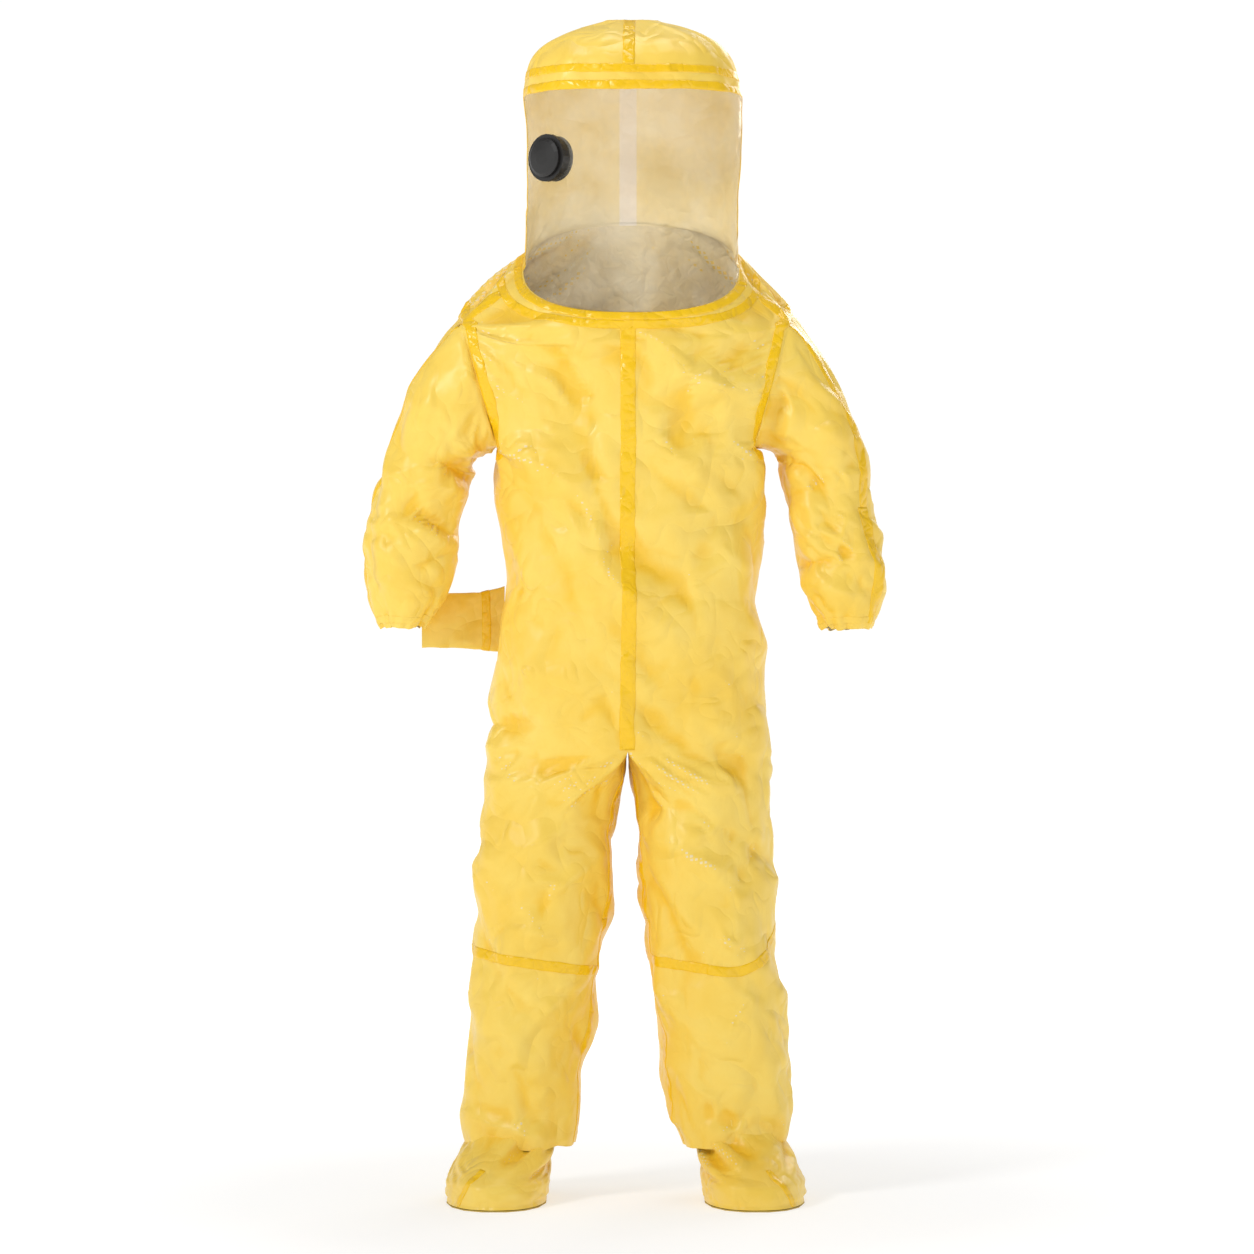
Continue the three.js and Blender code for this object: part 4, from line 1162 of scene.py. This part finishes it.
# %% seam tapes
TAPE = 25 * MM
ring = np.linspace(0, COLUMNS, 160, endpoint=False)
place(strip("centre_front_tape_cloth", torso, np.linspace(5, TORSO_ROWS - 1.5, 80), np.full(80, 80.0), TAPE,
            tape_material, seed=1), "centre_front_tape", "suit", "seam_tape")
place(strip("collar_tape_cloth", torso, np.full(160, 1.0), ring, 15 * MM, tape_material, closed=True,
            seed=2),
      "collar_tape", "suit", "seam_tape")
second = strip("collar_tape_lower_cloth", torso, np.full(160, 4.3), ring, 15 * MM, tape_material,
               closed=True, seed=3)
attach(second, "suit")
place(strip("crown_edge_tape_cloth", hood, np.full(160, CROWN_ROWS + 0.0), ring, 14 * MM, tape_material,
            closed=True,
            seed=4), "crown_edge_tape", "suit", "seam_tape")
place(strip("visor_top_tape_cloth", hood, np.full(80, VISOR_ROW + 0.2), np.linspace(40, 120, 80), 15 * MM,
            tape_material, seed=5), "visor_top_tape", "suit", "seam_tape")
place(strip("crown_centre_tape_cloth", hood, np.linspace(1.5, CROWN_ROWS - 1, 30), np.full(30, 80.0),
            20 * MM,
            tape_material, seed=6), "crown_centre_tape", "suit", "seam_tape")
LEG_COLUMNS, SLEEVE_COLUMNS = OUTER + INNER, 112
leg_path = {"right": ([0, 14, 40, 66, 80, 96, 112], [385, 392, 404, 388, 378, 371, 385]),
            "left": ([0, 14, 40, 52, 62, 80, 96, 112], [400, 410, 440, 396, 372, 386, 398, 400])}
for side, column, g in (("left", 40, 1), ("right", 120, -1)):
    place(strip(f"visor_side_tape_{side}_cloth", hood, np.linspace(VISOR_ROW, last - 0.5, 60),
                np.full(60, column),
                16 * MM, tape_material, seed=7), f"visor_side_tape_{side}", "suit", "seam_tape")
    yoke = strip(f"shoulder_tape_{side}", torso, np.linspace(5, HOLE_TOP, 30),
                 np.full(30, column + 5.0 * g), TAPE,
                 tape_material, seed=8)
    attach(yoke, "suit")
    shoulder = ("suit", (g * 0.236, 0.03, 1.307), (g * 0.30, 0.03, 1.288))
    elbow, (hip, knee) = arm_bends[side], leg_bends[side]
    around_arm = np.linspace(0, SLEEVE_COLUMNS, 112, endpoint=False)
    (c0, c1), out = HOLE_COLUMNS[0 if g > 0 else 1], 1.6
    corner_r = np.array([HOLE_TOP - out, HOLE_TOP - out, HOLE_FOOT + out, HOLE_FOOT + out, HOLE_TOP - out])
    corner_c = np.array([c0 - out, c1 + out, c1 + out, c0 - out, c0 - out])
    way = np.linspace(0, 4, 160, endpoint=False) + 0.5
    loop_r, loop_c = np.interp(way % 4, range(5), corner_r), np.interp(way % 4, range(5), corner_c)
    for _ in range(8):
        loop_r = 0.25 * np.roll(loop_r, 1) + 0.5 * loop_r + 0.25 * np.roll(loop_r, -1)
        loop_c = 0.25 * np.roll(loop_c, 1) + 0.5 * loop_c + 0.25 * np.roll(loop_c, -1)
    place(strip(f"armhole_tape_{side}_cloth", torso, loop_r, loop_c, 20 * MM, tape_material, closed=True,
                seed=9),
          f"armhole_tape_{side}", "suit", "seam_tape")
    drift = np.interp(np.linspace(0, 1, 60), [0, 0.5, 1], [33, 37, 40] if g > 0 else [33, 31, 28])
    low_drift = np.full(60, 40.0 if g > 0 else 28.0)
    if g < 0:
        drift, low_drift = SLEEVE_COLUMNS - drift, SLEEVE_COLUMNS - low_drift
    foot_row = len(sleeves[side][0]) - 3
    place(strip(f"upper_overarm_tape_{side}_cloth", sleeves[side], np.linspace(0, ELBOW_ROW, 60), drift,
                TAPE, tape_material, seed=10), f"upper_overarm_tape_{side}", f"{side}_upper_arm",
          "seam_tape", shoulder)
    place(strip(f"lower_overarm_tape_{side}_cloth", sleeves[side], np.linspace(ELBOW_ROW, foot_row, 60),
                low_drift, TAPE, tape_material, seed=11), f"lower_overarm_tape_{side}", f"{side}_forearm",
          "seam_tape", elbow)
    columns, heights = leg_path[side]
    steps = np.linspace(0, LEG_COLUMNS, 112, endpoint=False)
    level = smoothed(np.interp(steps, columns, heights), 6) * MM
    rows = KNEE_ROW + (KNEE_Z - level) / (KNEE_Z - HEM_Z) * 68
    if g < 0:
        rows = np.roll(rows[::-1], 1)
    place(strip(f"knee_tape_{side}_cloth", legs[side], rows, steps, 17 * MM, tape_material, closed=True,
                seed=12),
          f"knee_tape_{side}", f"{side}_shank", "seam_tape", knee)
    inner = 91.0 if g > 0 else LEG_COLUMNS - 91.0
    seam = strip(f"inseam_tape_upper_{side}", legs[side], np.linspace(2, KNEE_ROW, 60), np.full(60, inner),
                 16 * MM,
                 tape_material, seed=15)
    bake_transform(seam)
    seam = strip(f"inseam_tape_lower_{side}", legs[side], np.linspace(KNEE_ROW, len(leg_z) - 2, 70),
                 np.full(70, inner), 16 * MM, tape_material, seed=16)
    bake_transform(seam)
    band = np.interp(0.937, sleeve_z[::-1], np.arange(len(sleeve_z))[::-1] + FAN + 1.0)
    place(strip(f"cuff_elastic_{side}_cloth", sleeves[side], np.full(112, band), around_arm, 13 * MM,
                fabric_material,
                lift=0.7 * MM, closed=True, seed=13), f"cuff_elastic_{side}", f"{side}_forearm", "elastic")

# %% [markdown]
# ## Pass-through
# A flat fabric tube that lets a hose in at the hip. It is lofted like the sleeves, but sideways, and
# it flares where it meets the trunk.

# %% pass-through tube
low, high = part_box("pass_through_sleeve")
tube_x = np.linspace(high[0] + 27 * MM, low[0] + 0.3 * MM, 37)
count = len(tube_x)
origins = np.stack([tube_x, np.full(count, 0.5 * (low[1] + high[1])),
                    np.full(count, 0.5 * (low[2] + high[2]))], axis=-1)
inside = origins.copy()
inside[:, 0] = np.minimum(tube_x, high[0] - 2 * MM)
target, measured = limb_rings(["pass_through_sleeve"], inside, np.tile([0, 0, -1.0], (count, 1)),
                              np.tile([0, 1.0, 0], (count, 1)), 3, 72, 0)
target[..., 0] += (tube_x - inside[:, 0])[:, None]
flare = 1 + 0.16 * smoothstep(high[0] - 8 * MM, high[0] + 12 * MM, target[..., :1])
target[..., 1:] = origins[:, None, 1:] + (target[..., 1:] - origins[:, None, 1:]) * flare
p = drape(target, 0.05, 0.02, 71, fold=2 * MM, cell=(30 * MM, 40 * MM), reach=4 * MM, crease=1.0 * MM,
          crease_cell=28 * MM)
tube_grid = (p, normals_of(p), cut_of(target, 0.05, 0.02))
root = ("suit", (high[0], 0, 0.92), (high[0] - 0.02, 0, 0.92))
piece = panel("pass_through_sleeve", tube_grid, (0, count - 1), (0, 72), fabric_material, lining_material)
place(piece, "pass_through_sleeve", "pass_through", bend=root)
place(strip("pass_through_collar_cloth", tube_grid, np.full(72, 8.0),
            np.linspace(0, 72, 72, endpoint=False), 15 * MM,
            tape_material, closed=True, seed=14), "pass_through_collar", "pass_through", "seam_tape", root)

# %% [markdown]
# ## Storm flap
# A long narrow strip that covers the zipper. It is stiff and lies flat, so it is a rippled grid and
# isn't settled.

# %% storm flap
low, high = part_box("storm_flap")
rows = np.linspace(high[2], low[2], 180)[:, None]
columns = np.linspace(low[0], high[0], 25)[None]
ripple = soft_noise((180, 25), 22, 3, 81) * 0.5 + facets((180, 25), 30, 3, 83) * 0.35
share = (columns - low[0]) / (high[0] - low[0])
flap_p = np.stack([columns + 0 * rows, high[1] + (0.6 + ripple * (0.3 + share[:, ::-1])) * MM,
                   rows + 0 * columns], axis=-1)
flat_flap = np.stack([columns + 0 * rows, 0 * rows + 0 * columns, rows + 0 * columns], axis=-1)
piece = panel("storm_flap", (flap_p, open_normals(flap_p), cut_of(flat_flap, 0.01, 0.01)), (0, 179),
              (0, 24), fabric_material, lining_material,
              thick=1.2 * MM)
place(piece, "storm_flap", "flap")

# %% [markdown]
# ## Hard parts
# The valve, the zipper, the closure strips and the soles keep the frame's own shapes and only get
# finishes: moulded plastic, rubber, woven ribbon, plated metal and grip sole.

# %% finishes of the hard parts
def plain(name, colour, roughness, metallic=0.0, grain=0.1, scale=180.0):
    """A moulded, woven or metal finish with a slight surface texture."""
    made, tree, shader = material(name)
    shader.inputs["Base Color"].default_value = (*colour, 1)
    shader.inputs["Metallic"].default_value = metallic
    place = tree.nodes.new("ShaderNodeTexCoord").outputs["Object"]
    spots = add(tree, "ShaderNodeTexNoise", {"Vector": place, "Scale": scale, "Detail": 3.0})
    wear = add(tree, "ShaderNodeMapRange", {"Value": spots.outputs["Fac"], "To Min": roughness - 0.08,
                                            "To Max": roughness + 0.08})
    tree.links.new(wear.outputs[0], shader.inputs["Roughness"])
    relief = add(tree, "ShaderNodeBump", {"Height": spots.outputs["Fac"], "Strength": grain,
                                          "Distance": 0.3 * MM})
    tree.links.new(relief.outputs["Normal"], shader.inputs["Normal"])
    return made


black_plastic = plain("black moulded plastic", (0.008, 0.007, 0.006), 0.42)
black_rubber = plain("black rubber", (0.006, 0.006, 0.006), 0.62)
ribbon = plain("woven zip ribbon", (0.72, 0.50, 0.10), 0.75, grain=0.5, scale=900.0)
teeth = plain("zip teeth", (0.62, 0.46, 0.10), 0.38)
slider_metal = plain("nickel", (0.62, 0.60, 0.56), 0.3, metallic=1.0)
hook_loop = plain("hook and loop", (0.75, 0.58, 0.14), 0.95, grain=0.9, scale=1400.0)
grip_sole = plain("grip sole", (0.55, 0.38, 0.08), 0.7, grain=0.6, scale=260.0)
finish_of = {"valve_body": black_plastic, "valve_retaining_ring": black_plastic,
             "valve_cover": black_plastic,
             "valve_gasket": black_rubber, "valve_diaphragm": black_rubber, "zipper_tape_right": ribbon,
             "zipper_tape_left": ribbon, "zipper_teeth": teeth, "zipper_top_stop": slider_metal,
             "zipper_bottom_stop": slider_metal, "zipper_slider": slider_metal, "zipper_pull_tab": ribbon,
             "flap_hook_strip": hook_loop, "flap_loop_strip": hook_loop, "flap_seam_tape": tape_material,
             "sock_sole_right": grip_sole, "sock_sole_left": grip_sole}
for node, finish in finish_of.items():
    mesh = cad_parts[node].data
    mesh.materials.clear()
    mesh.materials.append(finish)
